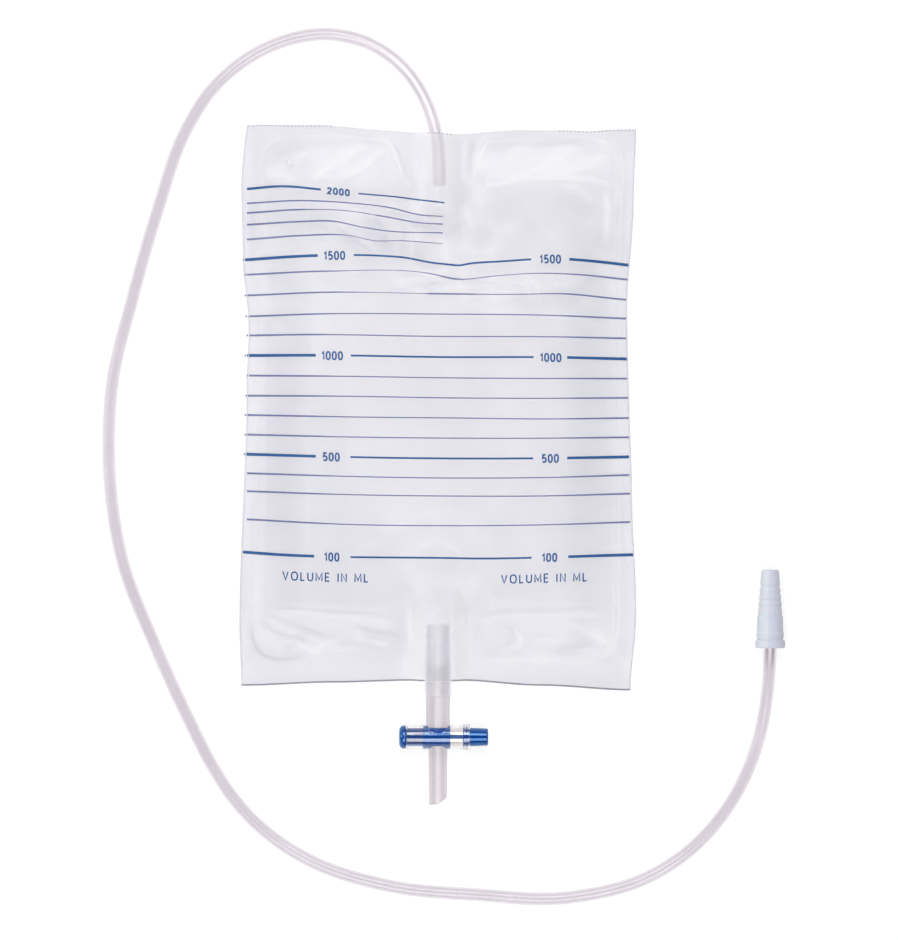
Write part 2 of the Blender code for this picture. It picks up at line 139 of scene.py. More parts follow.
WELD_Z = FILM + GAP
INLET_Z = WELD_Z + TUBE / 2
OUTLET_Z = WELD_Z + STRETCHED / 2
EYELET_X = EYELET_FROM_SIDE - BAG_WIDTH / 2
EYELET_Y = TOP_Y - EYELET_FROM_TOP


def place(px, py):
    """A pixel of the photograph as x and y in the frame."""
    return (px - ORIGIN_PIXEL[0]) * PIXEL, (ORIGIN_PIXEL[1] - py) * PIXEL


def placed(name, data):
    made = bpy.data.objects.new(name, data)
    bpy.context.scene.collection.objects.link(made)
    return made


# Camera: straight above the photograph's middle, through a long lens
CAMERA_HEIGHT = 3.0
camera = placed("camera", bpy.data.cameras.new("camera"))
camera.location = (*place(PHOTO_WIDTH / 2, PHOTO_HEIGHT / 2), CAMERA_HEIGHT)
camera.data.lens = camera.data.sensor_width * CAMERA_HEIGHT / (PHOTO_HEIGHT * PIXEL)
camera.data.clip_start = 0.05
camera.data.clip_end = 20
bpy.context.scene.camera = camera
bpy.context.scene.view_settings.view_transform = "Standard"


def linear(red, green, blue):
    """A colour as seen on screen, 0 to 255, in the renderer's own scale."""
    return tuple(((v / 255 + 0.055) / 1.055) ** 2.4 if v > 10 else v / 255 / 12.92 for v in (red, green, blue))


def feed(socket, value):
    """Link an output to a socket, or set the socket to a plain number, vector or colour."""
    if isinstance(value, bpy.types.NodeSocket):
        socket.id_data.links.new(value, socket)
    elif socket.type == "RGBA":
        socket.default_value = (*value, 1)
    else:
        socket.default_value = value


def node(tree, kind, inputs=(), output=0, **settings):
    """A node with its inputs linked or set, by name or number. Returns one of its outputs."""
    made = tree.nodes.new("ShaderNode" + kind)
    for name, value in settings.items():
        setattr(made, name, value)
    for key, value in dict(inputs).items():
        feed(made.inputs[key], value)
    return made.outputs[output]


def ranged(tree, value, start=(0, 1), end=(0, 1)):
    """A value carried over from one range to another, and held to it."""
    limits = {"From Min": start[0], "From Max": start[1], "To Min": end[0], "To Max": end[1]}
    return node(tree, "MapRange", {"Value": value, **limits})


def mixed(tree, share, first, second, blend="MIX"):
    return node(tree, "Mix", {0: share, 6: first, 7: second}, 2, data_type="RGBA", blend_type=blend)


def worked(tree, operation, *values):
    return node(tree, "Math", enumerate(values), operation=operation)


def clouds(tree, size, detail):
    """A soft noise that lies still on the piece."""
    where = node(tree, "TexCoord", output="Object")
    return node(tree, "TexNoise", {"Vector": where, "Scale": size, "Detail": detail}, "Fac")


def nearness(tree, point, reach):
    """One near a point and none further off."""
    where = node(tree, "TexCoord", output="Object")
    return ranged(tree, node(tree, "VectorMath", {0: where, 1: point}, "Value", operation="DISTANCE"), reach)


def seen_by(tree, *rays):
    """One for any of the named kinds of ray, and none for the rest."""
    path = tree.nodes.new("ShaderNodeLightPath")
    share = path.outputs[rays[0]]
    for ray in rays[1:]:
        share = worked(tree, "MAXIMUM", share, path.outputs[ray])
    return share


def principled(name, settings):
    """A new material, its node tree and its shader's inputs, some of them set."""
    made = bpy.data.materials.new(name)
    made.use_nodes = True
    inputs = made.node_tree.nodes["Principled BSDF"].inputs
    for key, value in settings.items():
        feed(inputs[key], value)
    return made, made.node_tree, inputs


# Plastics: how far colour and roughness wander, and where a normal starts and ends to count as the left side, lightened
# there with painted light from the left
MOTTLE = 0.04
POLISH = (0.8, 1.25)
LEFTWARD = (-0.12, -0.32)


def plastic(name, colour, roughness, alpha=1.0, edge_alpha=None, painted_light_left=None, more=()):
    """Moulded or extruded plastic, a little uneven. It can be denser seen edge-on, and have a left side painted
    lighter, as if lit from the left.
    """
    made, tree, inputs = principled(name, {"IOR": 1.5, "Alpha": alpha, **dict(more)})
    cloud = clouds(tree, 60, 4)
    tint = mixed(tree, cloud, [v * (1 - MOTTLE) for v in colour], [min(1, v * (1 + MOTTLE)) for v in colour])
    if painted_light_left:
        sideways = node(tree, "SeparateXYZ", {0: node(tree, "TexCoord", output="Normal")}, "X")
        tint = mixed(tree, ranged(tree, sideways, LEFTWARD), tint, painted_light_left)
    feed(inputs["Base Color"], tint)
    feed(inputs["Roughness"], ranged(tree, cloud, end=[roughness * share for share in POLISH]))
    if edge_alpha:
        facing = node(tree, "LayerWeight", {"Blend": 0.35}, "Facing")
        feed(inputs["Alpha"], ranged(tree, facing, end=(alpha, edge_alpha)))
    return made


# Clear pieces: how far a surface may turn away and still count as seen square on, where a painted highlight line lies,
# or edge-on, and how uneven it is
SQUARE_ON = (0.07, 0.005)
EDGE_ON = (0.35, 0.10)
UNEVEN = (0.965, 1.02)

# Inlet tube: how far from the bag and the connector it looks as it does there, and where it is under the film
NEAR_BAG = (0.075, 0.035)
NEAR_CONNECTOR = (0.012, 0.003)
INSIDE_BAG = (INLET_EDGE_Y + 0.001, INLET_EDGE_Y - 0.004)

# Films: the noise's part in the tone, which also carries painted highlights and painted shade, and the tones of the
# darkest and the lightest film
FILM_CLOUD = 0.24
FILM_TONES = (-0.88, 1.12)


def clear(name, colour, edge_colour, ior, gloss, gloss_roughness, shade, line=0.0, inlet=False):
    """See-through plastic with its edges another tint, glossy outside, and with only a faint shadow.

    Where a round piece is looked at square on, it shows a painted highlight, a pale line of some strength. The inlet
    tube shows it only near the bag and the connector, has dark sides at the connector, and is paler inside the bag,
    under the film."""
    coat = {"Coat Weight": 1.0, "Coat IOR": gloss, "Coat Roughness": gloss_roughness}
    made, tree, inputs = principled(name, {"Transmission Weight": 1.0, "IOR": ior, **coat})
    cloud = clouds(tree, 60, 3)
    facing = node(tree, "LayerWeight", {"Blend": 0.5}, "Facing")
    tint = mixed(tree, facing, colour, edge_colour)
    painted_highlight = ranged(tree, facing, SQUARE_ON, (0, line))
    if inlet:
        at_bag = nearness(tree, (INLET_EDGE_X, INLET_EDGE_Y, INLET_Z), NEAR_BAG)
        at_connector = nearness(tree, (*CONNECTOR_BACK, CONNECTOR_Z), NEAR_CONNECTOR)
        sides = ranged(tree, facing, EDGE_ON, (0, 0.8))
        tint = mixed(tree, worked(tree, "MULTIPLY", at_connector, sides), tint, (0.30, 0.22, 0.23))
        painted_highlight = worked(tree, "MULTIPLY", worked(tree, "MAXIMUM", at_bag, at_connector), painted_highlight)
    # The painted highlight line's pale colour
    tint = mixed(tree, painted_highlight, tint, (1, 0.99, 1))
    if inlet:
        place_along = node(tree, "SeparateXYZ", {0: node(tree, "TexCoord", output="Object")}, "Y")
        within = ranged(tree, place_along, INSIDE_BAG, (0, 0.22))
        tint = mixed(tree, worked(tree, "MULTIPLY", within, at_bag), tint, (0.97, 0.95, 0.97))
    feed(inputs["Base Color"], mixed(tree, 1.0, tint, ranged(tree, cloud, end=UNEVEN), "MULTIPLY"))
    feed(inputs["Roughness"], ranged(tree, cloud, end=(0.0, 0.03)))
    feed(inputs["Alpha"], ranged(tree, seen_by(tree, "Is Shadow Ray"), end=(1.0, shade)))
    return made


def film(name, dark, light, thin, thick, roughness):
    """Soft glossy film: its colour and haze follow the tone painted on the mesh, lighter and clearer for painted
    highlights, darker and denser for painted shade.
    """
    made, tree, inputs = principled(name, {"IOR": 1.52, "Roughness": roughness, "Specular IOR Level": 0.4})
    tone_and_painted_light = node(tree, "Attribute", output="Fac", attribute_name="tone_and_painted_light")
    share = ranged(tree, worked(tree, "MULTIPLY_ADD", clouds(tree, 90, 3), FILM_CLOUD, tone_and_painted_light), FILM_TONES)
    feed(inputs["Base Color"], mixed(tree, share, dark, light))
    feed(inputs["Alpha"], ranged(tree, share, end=(thick, thin)))
    return made


# Film colours run from the darkest painted shade to the lightest painted highlight
film_clear = film("film_clear", linear(192, 191, 207), linear(246, 245, 250), 0.31, 0.54, 0.15)
film_back = film("film_back", linear(200, 199, 214), linear(243, 242, 248), 0.31, 0.44, 0.2)
film_rim = plastic("film_rim", linear(246, 245, 249), 0.2, alpha=0.4)
film_side = plastic("film_side", linear(214, 212, 221), 0.3, alpha=0.6)
# Dark cut edge, partly painted shadow, also used for the nicks of the tear-off line
film_edge_and_shadow = plastic("film_edge_and_shadow", linear(118, 116, 134), 0.3, alpha=0.75)
print_deep = plastic("print_deep", linear(4, 80, 143), 0.35, alpha=0.95)
print_fine = plastic("print_fine", linear(92, 99, 155), 0.35, alpha=0.80)
# line is the strength of the painted highlight line along each round clear piece
tube_clear = clear("tube_clear", (0.645, 0.605, 0.65), (0.90, 0.87, 0.90), 1.0, 1.5, 0.14, 0.15, line=0.75, inlet=True)
tube_inside = clear("tube_inside", (0.985, 0.975, 0.985), (0.93, 0.90, 0.93), 1.0, 1.2, 0.2, 0.05)
sleeve_clear = clear("sleeve_clear", (0.91, 0.895, 0.92), (0.66, 0.65, 0.69), 1.0, 1.5, 0.16, 0.10, line=0.8)
tap_clear = clear("tap_clear", (0.92, 0.89, 0.885), (0.86, 0.82, 0.84), 1.49, 1.8, 0.05, 0.10)
tap_hazy = clear("tap_hazy", (0.69, 0.64, 0.675), (0.54, 0.505, 0.535), 1.0, 1.5, 0.14, 0.15, line=0.35)
tap_inside = clear("tap_inside", (0.985, 0.98, 0.985), (0.93, 0.91, 0.93), 1.0, 1.2, 0.2, 0.05)
glossy_blue = {"IOR": 1.8, "Specular IOR Level": 1.0, "Specular Tint": (0.3, 0.62, 1.0)}
tap_blue = plastic("tap_blue", linear(3, 60, 142), 0.09, more=glossy_blue)
waxy = {"Specular IOR Level": 0.25, "Subsurface Weight": 0.2, "Subsurface Scale": 0.002}
# Connector: its left side is painted lighter, painted light as if from a lamp on the left
connector_pale = plastic("connector_pale", linear(208, 211, 227), 0.5, 0.96, 1.0, linear(218, 222, 230), waxy)


def add_mesh(name, vertices, faces, finish, body="root", smooth=True):
    mesh = bpy.data.meshes.new(name)
    mesh.from_pydata([tuple(v) for v in vertices], [], faces)
    mesh.validate()
    if smooth:
        mesh.shade_smooth()
    mesh.materials.append(finish)
    made = placed(name, mesh)
    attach(made, body)
    return made


def eased(share):
    share = min(max(share, 0.0), 1.0)
    return share * share * (3 - 2 * share)


def hermite(share):
    """Weights of a smooth curve's start and end, and of its slopes there."""
    square, cube = share**2, share**3
    return 2 * cube - 3 * square + 1, 3 * square - 2 * cube, cube - 2 * square + share, cube - square


def line_through(points, step):
    """Points at equal steps along a smooth curve through the route's points."""
    points = np.array(points)
    at = np.concatenate([[0], np.cumsum(np.linalg.norm(np.diff(points, axis=0), axis=1))])
    slopes = np.gradient(points, at, axis=0)
    fine = [points[:1]]
    from_start, to_end, start_slope, end_slope = hermite(np.linspace(0, 1, 33)[1:, None])
    for i, reach in enumerate(np.diff(at)):
        start = points[i] * from_start + slopes[i] * reach * start_slope
        end = points[i + 1] * to_end + slopes[i + 1] * reach * end_slope
        fine.append(start + end)
    fine = np.concatenate(fine)
    along = np.concatenate([[0], np.cumsum(np.linalg.norm(np.diff(fine, axis=0), axis=1))])
    stops = np.linspace(0, along[-1], round(along[-1] / step) + 1)
    return np.stack([np.interp(stops, along, fine[:, i]) for i in range(2)], axis=1), stops


def tube_line(step):
    """The tube's axis: out of the bag, down to the table, over it, and up into the connector."""
    back_x, back_y = CONNECTOR_BACK
    seat = (back_x, back_y + SOCKET_DEPTH - GAP)
    route = [(INLET_START_X, INLET_START_Y), (INLET_EDGE_X, INLET_EDGE_Y), *ROUTE, CONNECTOR_BACK, seat]
    line, along = line_through(route, step)
    found = []
    for (x, y), passed in zip(line, along):
        left = along[-1] - passed - SOCKET_DEPTH
        z = TUBE / 2 + WELD_Z * eased(2 - passed / INLET_DEPTH)
        z += (CONNECTOR_Z - TUBE / 2) * eased(1.1 - left / TUBE_RISE)
        found.append((x, y, z))
    return np.array(found)


# Inlet tube: a wall round a lumen, swept along the route
def swept(name, line, outside, inside, finish, inner_finish, sides=32):
    tangents = np.gradient(line, axis=0)
    tangents /= np.linalg.norm(tangents, axis=1)[:, None]
    across = np.cross(tangents, (0, 0, 1))
    across /= np.linalg.norm(across, axis=1)[:, None]
    upward = np.cross(across, tangents)
    vertices, faces = [], []
    rings = []
    for radius in (outside, inside):
        start = len(vertices)
        for centre, a, u in zip(line, across, upward):
            for i in range(sides):
                angle = 2 * pi * i / sides
                vertices.append(centre + radius * (cos(angle) * a + sin(angle) * u))
        rings.append(start)
    for start, turn in zip(rings, (1, -1)):
        for k in range(len(line) - 1):
            low, high = start + k * sides, start + (k + 1) * sides
            for i in range(sides):
                j = (i + 1) % sides
                faces.append((low + i, low + j, high + j, high + i)[::turn])
    last = (len(line) - 1) * sides
    for offset, turn in ((0, -1), (last, 1)):
        for i in range(sides):
            j = (i + 1) % sides
            quad = (rings[0] + offset + i, rings[0] + offset + j, rings[1] + offset + j, rings[1] + offset + i)
            faces.append(quad[::turn])
    made = add_mesh(name, vertices, faces, finish)
    made.data.materials.append(inner_finish)
    wall = (len(line) - 1) * sides
    for polygon in made.data.polygons[wall : 2 * wall]:
        polygon.material_index = 1
    return made


FINE_STEP = 0.0025
coarse = tube_line(TUBE_STEP)
fine_line = tube_line(FINE_STEP)
tube = swept("inlet_tubing", fine_line, TUBE / 2, LUMEN / 2, tube_clear, tube_inside)
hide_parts("inlet_tube")


# Films: the part's own shape on a finer grid, with the wrinkles of soft film
def inset(edge, share):
    for (start, low), (end, high) in zip(edge, edge[1:]):
        if share <= end:
            return low + (high - low) * eased((share - start) / (end - start))
    return edge[-1][1]


def across_bag(x, row):
    left = inset(LEFT_EDGE, row) - BAG_WIDTH / 2
    right = BAG_WIDTH / 2 - inset(RIGHT_EDGE, row)
    share = (x - left) / (right - left)
    top = TOP_Y - inset(TOP_EDGE, share)
    bottom = BOTTOM_Y - inset(BOTTOM_EDGE, share)
    return top + (bottom - top) * row


def wrapped(down, y):
    outlet_start = BAG_LENGTH - SLEEVE_INSIDE - WRAP_LEAD
    inlet_end = INLET_DEPTH + WRAP_LEAD
    to_outlet = eased((down - inlet_end) / (outlet_start - inlet_end))
    flare = BAG_LENGTH + SLEEVE_OUTSIDE - STUB_LENGTH - SLEEVE_FLARE
    sleeve = (SLEEVE + (STRETCHED - SLEEVE) * eased((down - flare) / WRAP_LEAD + 2)) / 2
    radius = TUBE / 2 + (sleeve - TUBE / 2) * to_outlet + GAP
    x = np.interp(y, coarse[:4, 1], coarse[:4, 0]) * (1 - to_outlet)
    height = INLET_Z + (OUTLET_Z - INLET_Z) * to_outlet
    hold = eased((inlet_end + INLET_RUNOUT - down) / INLET_RUNOUT)
    hold += eased((down - outlet_start + OUTLET_RUNOUT) / OUTLET_RUNOUT)
    return x, height, radius, hold


# Waves of the puffed film: size, and turns for each metre across and down
WAVES = ((0.12, 56, 31), (0.08, 25, -82))


def puff(x, y, down):
    level = eased((BAG_WIDTH / 2 - SIDE_WELD - abs(x)) / SIDE_SHOULDER)
    level *= eased((down - TOP_WELD) / TOP_SHOULDER)
    level *= eased((BAG_LENGTH - BOTTOM_WELD - down) / BOTTOM_SHOULDER)
    valley = eased(1 - abs(x - VALLEY_X) / VALLEY_HALF_WIDTH)
    level *= 1 - VALLEY_DEPTH * valley * eased(2 - 2 * down / VALLEY_END)
    eyelet = Vector((x - EYELET_X, y - EYELET_Y)).length
    level *= eased((eyelet - EYELET_WELD / 2) / EYELET_SHOULDER)
    return CROWN * level * sum((size * cos(a * x + b * y) for size, a, b in WAVES), 1.0)


# Where the film leaves a round piece, its height there, and how fast it falls from there: shares of the radius
DRAPE_START = 0.7
DRAPE_HEIGHT = 0.714
DRAPE_FALL = 1.373


def drape(out):
    """How the film hangs off a round piece, past where it stops lying on it: shares of the radius."""
    return 0.0 if out < DRAPE_START else DRAPE_HEIGHT * 2.718 ** (DRAPE_FALL * (DRAPE_START - out))


ARCH_STEPS = 8
SKIRT_STEPS = 10
OUTER_STEPS = 90
OUTER_SPREAD = 1.2
WELD_STEPS = 7
ROW_COUNT = 300


def film_row(down):
    """One row: x, y, the front film's height, the back film's height, and how far each point is free of the welds."""
    row = down / BAG_LENGTH
    middle, axis_z, radius, hold = wrapped(down, across_bag(0, row))
    seam_z = FILM + GAP / 2
    found = []
    for side, edge in ((-1, LEFT_EDGE), (1, RIGHT_EDGE)):
        half = []
        for i in range(ARCH_STEPS):
            angle = pi / 2 * i / ARCH_STEPS
            half.append((radius * sin(angle), radius * max(cos(angle), drape(sin(angle))), 1.0))
        for i in range(SKIRT_STEPS + 1):
            share = i / SKIRT_STEPS
            hang = radius * drape(1 + SKIRT * share / radius) * (1 - eased(share))
            half.append((radius + SKIRT * share, hang, 1 - eased(share)))
        reach = BAG_WIDTH / 2 - inset(edge, row) - side * middle
        inner = reach - SIDE_WELD
        start = radius + SKIRT
        shares = [((i + 1) / OUTER_STEPS) ** OUTER_SPREAD for i in range(OUTER_STEPS)]
        half += [(start + (inner - start) * share, 0.0, 0.0) for share in shares]
        half += [(inner + SIDE_WELD * (i + 1) / WELD_STEPS, 0.0, 0.0) for i in range(WELD_STEPS)]
        points = []
        for out, arch, skirt in half:
            x = middle + side * out
            y = across_bag(x, row)
            seam = seam_z + (axis_z - seam_z) * skirt
            apart = max(arch, GAP / 2)
            front = WELD_Z + hold * (seam + apart - WELD_Z)
            back = FILM + hold * (seam - apart - FILM)
            tongue = 1 - eased((out - radius - SKIRT) / TONGUE_FADE)
            free = 1 - hold * tongue
            front = max(front, WELD_Z + puff(x, y, down) * free)
            points.append((x, y, front, back, free, down, reach - out))
        found.append(points)
    return found[0][:0:-1] + found[1]

rows = [film_row(BAG_LENGTH * i / (ROW_COUNT - 1)) for i in range(ROW_COUNT)]
grid = np.array(rows)
X, Y, FRONT, BACK, FREE, DOWN, FROM_SIDE = (grid[:, :, i] for i in range(7))

# How far the cut edges stand out from the plain outline: place along the edge and amount, in pixels, and how far
# from the edges the films still follow them, in metres
LEFT_OUT = (
    (125, 1.8), (140, 3.4), (165, 2.9), (190, 1.6), (250, 0.2), (340, -0.8), (380, 1.2), (470, 1.6), (560, 0.6),
    (600, 0.3), (680, 1.0),
)
RIGHT_OUT = (
    (130, 0), (200, 0), (250, 0.3), (310, -1.0), (350, -0.3), (410, 1.4), (500, 1.7), (560, 0.8), (600, 0),
    (650, 0.6), (685, 0.5),
)
TOP_OUT = (
    (245, 1.6), (262, 2.2), (305, 1.6), (350, 2.8), (395, 3.2), (410, 1.9), (455, 1.3), (485, 3.6), (500, 4.0),
    (515, 3.5), (545, 1.1), (590, 0.5), (605, 1.8), (635, 0.3),
)
SIDE_FOLLOWS = 0.007
TOP_FOLLOWS = 0.006
across, down = X / PIXEL + ORIGIN_PIXEL[0], ORIGIN_PIXEL[1] - Y / PIXEL
by_side = np.clip(1 - FROM_SIDE / SIDE_FOLLOWS, 0, 1) * PIXEL
X = X + by_side * np.where(X < 0, -np.interp(down, *zip(*LEFT_OUT)), np.interp(down, *zip(*RIGHT_OUT)))
Y = Y + np.clip(1 - DOWN / TOP_FOLLOWS, 0, 1) * PIXEL * np.interp(across, *zip(*TOP_OUT))


def from_line(points):
    """Distance of every film point from a line given in pixels, and the share of the way along it."""
    line = np.array([place(*point) for point in points])
    if len(line) > 2:
        line, _ = line_through(line, 0.002)
    best = np.full(X.shape, 1e9)
    share = np.zeros(X.shape)
    total = np.linalg.norm(np.diff(line, axis=0), axis=1).sum()
    passed = 0.0
    for (ax, ay), (bx, by) in zip(line, line[1:]):
        dx, dy = bx - ax, by - ay
        length = (dx * dx + dy * dy) ** 0.5
        if length < 1e-7:
            continue
        t = np.clip(((X - ax) * dx + (Y - ay) * dy) / length**2, 0, 1)
        distance = np.hypot(X - ax - t * dx, Y - ay - t * dy)
        near = distance < best
        best = np.where(near, distance, best)
        share = np.where(near, (passed + t * length) / total, share)
        passed += length
    return best, share


def bell(distance, middle, width):
    return np.exp(-(((distance - middle) / width) ** 2))


def ridge(points, height, width):
    """A soft crease, in millimetres of height and width, that dies out over a quarter of its length at both ends."""
    distance, share = from_line(points)
    ends = np.clip(np.minimum(share, 1 - share) / 0.25, 0, 1)
    ends = ends * ends * (3 - 2 * ends)
    return height / 1000 * bell(distance, 0, width / 1000) * ends


def dent(px, py, height, wide, tall):
    """A soft round rise at a pixel, in millimetres of height, half width and half length."""
    x, y = place(px, py)
    return height / 1000 * np.exp(-(((X - x) * 1000 / wide) ** 2) - ((Y - y) * 1000 / tall) ** 2)


# Creases seen in the front film: points in pixels, height and width in millimetres, and tone from dark to light, which
# paints shade and highlights along each crease
CREASES = (
    # Top left panel
    (((262, 178), (282, 172), (298, 160), (310, 147)), 0.60, 3.2, 0.25),
    (((302, 179), (328, 168), (350, 155), (372, 142)), 0.80, 3.4, 0.55),
    (((334, 180), (352, 174), (374, 160), (388, 147)), 0.60, 2.6, 0.45),
    (((270, 158), (286, 152), (312, 150)), -0.40, 2.6, -0.35),
    (((258, 177), (300, 178), (336, 179)), 0.45, 1.3, 0.55),
    (((296, 140), (330, 139), (362, 141)), 0.25, 1.8, 0.25),
    # Round the inlet
    (((380, 137), (390, 146), (399, 164), (405, 181)), 0.60, 1.2, 0.55),
    (((388, 138), (396, 148), (404, 166), (410, 182)), -0.50, 1.6, -0.75),
    (((413, 138), (415, 160), (418, 184)), 0.40, 1.1, 0.45),
    (((424, 137), (425, 160), (426, 182)), 0.30, 0.9, 0.35),
    (((419, 139), (420, 160), (422, 180)), -0.20, 0.9, -0.35),
    (((453, 138), (451, 160), (450, 187)), 0.35, 1.0, 0.35),
    (((466, 137), (464, 160), (462, 186)), 0.50, 1.3, 0.60),
    (((473, 138), (471, 160), (469, 180)), -0.40, 1.1, -0.45),
    (((481, 137), (478, 158), (472, 178)), 0.30, 1.0, 0.30),
    # Top right panel
    (((484, 183), (500, 170), (520, 152), (540, 140)), 0.60, 3.0, 0.40),
    (((498, 183), (530, 172), (560, 158), (578, 143)), 0.80, 3.6, 0.55),
    (((530, 181), (570, 172), (598, 163), (612, 150)), 0.50, 3.0, 0.40),
    (((510, 150), (548, 144), (590, 142)), -0.30, 2.2, -0.25),
    (((466, 180), (474, 187), (490, 187), (520, 181), (560, 180), (601, 183), (615, 189), (618, 206)), 0.45, 1.1, 0.55),
    (((598, 138), (607, 152), (607, 170)), 0.30, 1.8, 0.30),
    # Below the inlet
    (((331, 215), (345, 226), (364, 240), (384, 256)), -0.50, 1.0, 0.45),
    (((336, 226), (360, 243), (384, 262)), 0.40, 2.0, -0.25),
    (((318, 214), (334, 208), (352, 214), (360, 224)), 0.40, 2.6, 0.30),
    (((376, 208), (396, 214), (420, 222), (440, 227)), 0.45, 2.4, -0.35),
    (((352, 196), (380, 203), (410, 210), (440, 215)), 0.30, 2.2, 0.25),
    (((455, 196), (458, 236), (459, 268), (457, 304)), -0.90, 3.6, 0.05),
    (((430, 238), (442, 244), (449, 258), (452, 272)), 0.50, 2.4, 0.55),
    (((466, 214), (472, 236), (468, 256)), 0.40, 2.4, 0.30),
    (((380, 286), (408, 283), (436, 276), (456, 270), (480, 271)), 0.45, 1.8, 0.45),
    (((428, 294), (470, 287), (512, 276)), 0.45, 2.2, 0.35),
    (((428, 286), (440, 284), (446, 291)), -0.35, 2.2, -0.60),
    (((470, 292), (500, 296), (530, 290), (560, 287)), 0.35, 1.8, 0.40),
    (((468, 294), (480, 306), (506, 312), (546, 310)), 0.30, 2.0, 0.30),
    (((540, 262), (560, 276), (592, 284)), 0.30, 2.4, 0.25),
    (((585, 196), (596, 220), (598, 250)), 0.35, 2.6, 0.0),
    (((609, 188), (606, 216), (605, 246)), 0.20, 1.4, 0.45),
    (((300, 286), (332, 292), (372, 290)), 0.30, 3.0, 0.20),
    (((322, 306), (345, 302), (375, 308)), 0.25, 2.4, 0.30),
    (((600, 262), (612, 290), (610, 322)), 0.30, 2.2, 0.35),
    (((262, 268), (266, 300), (264, 330)), 0.30, 2.0, 0.30),
    (((400, 205), (403, 236), (398, 262)), 0.30, 1.4, -0.40),
    (((372, 212), (382, 228), (386, 250)), 0.30, 2.6, -0.50),
    (((346, 222), (366, 212), (396, 226)), 0.30, 2.0, 0.60),
    (((404, 262), (420, 272), (452, 282)), 0.35, 1.6, 0.60),
    (((388, 262), (402, 284), (430, 296)), 0.30, 1.6, 0.50),
    (((452, 285), (470, 280), (500, 286)), 0.30, 1.2, -0.45),
    (((436, 196), (444, 206), (452, 200)), 0.30, 1.2, 0.50),
    (((604, 188), (609, 214), (606, 246)), 0.30, 1.4, 0.55),
    (((254.7, 611), (253.4, 640), (261.3, 653), (271.8, 657.7), (308.6, 655.6)), -0.30, 1.0, -0.85),
    (((560, 186), (580, 192), (596, 204)), 0.25, 1.8, 0.40),
    # Above the outlet
    (((410, 574), (420, 551), (440, 541), (460, 550), (470, 574)), 0.30, 1.8, 0.28),
    (((366, 540), (372, 530), (398, 528), (440, 514), (474, 524), (494, 546), (500, 566)), 0.28, 2.2, 0.22),
    (((402, 606), (424, 588), (452, 587), (474, 604)), 0.30, 2.2, 0.25),
    (((350, 566), (366, 548), (388, 540)), 0.20, 2.0, 0.20),
    (((476, 572), (492, 584), (498, 604)), 0.20, 2.4, -0.30),
    (((402, 580), (410, 596), (420, 610)), 0.20, 3.0, -0.35),
    # Bottom band
    (((257, 610), (295, 613), (340, 617), (400, 621)), 0.60, 1.2, 0.55),
    (((257, 606), (295, 608), (340, 611), (400, 614)), -0.30, 1.4, -0.40),
    (((466, 622), (500, 617), (560, 614), (614, 612)), 0.55, 1.2, 0.50),
    (((466, 615), (500, 610), (560, 608), (612, 606)), -0.30, 1.4, -0.30),
    (((258, 617), (274, 632), (300, 640), (316, 650)), 0.50, 1.5, -0.50),
    (((264, 616), (280, 628), (304, 634)), 0.40, 1.5, 0.35),
    (((284, 622), (310, 632), (332, 638), (345, 623)), 0.45, 1.4, -0.40),
    (((345, 623), (360, 629), (380, 634), (408, 637)), 0.45, 1.4, -0.35),
    (((350, 632), (372, 640), (396, 644)), 0.40, 1.8, 0.35),
    (((300, 652), (330, 648), (372, 652), (398, 656)), 0.30, 1.6, 0.25),
    (((504, 624), (513, 637), (498, 648), (481, 657)), 0.50, 1.5, -0.45),
    (((512, 626), (522, 638), (510, 652)), 0.35, 1.5, 0.35),
    (((528, 640), (548, 638), (566, 640)), 0.30, 1.4, 0.35),
    (((474, 661), (510, 660), (564, 661)), 0.25, 1.2, 0.45),
    (((540, 652), (570, 650), (604, 640)), 0.35, 2.0, -0.20),
    (((560, 620), (590, 630), (612, 644)), 0.40, 2.4, 0.40),
    (((584, 652), (606, 660), (622, 676)), 0.25, 2.4, -0.25),
    # Beside the outlet
    (((407, 590), (409, 612), (408, 636)), 0.15, 0.8, 0.45),
    (((414, 600), (415, 616), (414, 636)), 0.15, 0.7, -0.35),
    (((420, 605), (421, 640), (420, 676)), 0.15, 0.8, 0.60),
    (((452, 600), (453, 620), (452, 640)), 0.15, 0.8, 0.55),
    (((460, 600), (461, 630), (460, 680)), 0.15, 0.9, 0.70),
    (((469, 606), (470, 636), (468, 680)), 0.15, 0.9, 0.45),
    (((398, 640), (397, 660), (398, 682)), 0.15, 0.8, 0.40),
    (((409, 636), (411, 655), (410, 680)), 0.40, 0.9, -0.40),
    (((404, 634), (405, 655), (404, 680)), 0.35, 0.9, 0.40),
    (((416, 636), (417, 655), (416, 681)), 0.35, 0.8, 0.45),
    (((456, 636), (457, 655), (456, 682)), 0.40, 0.9, 0.50),
    (((464, 632), (463, 655), (463, 682)), 0.35, 0.9, -0.35),
)
DENTS = (
    (455, 230, -0.7, 6, 9),
    (252, 312, -0.5, 8, 9),
    (624, 305, -0.5, 8, 10),
    (438, 470, -0.4, 40, 40),
    (520, 225, 0.3, 16, 14),
    (330, 240, 0.3, 18, 10),
)

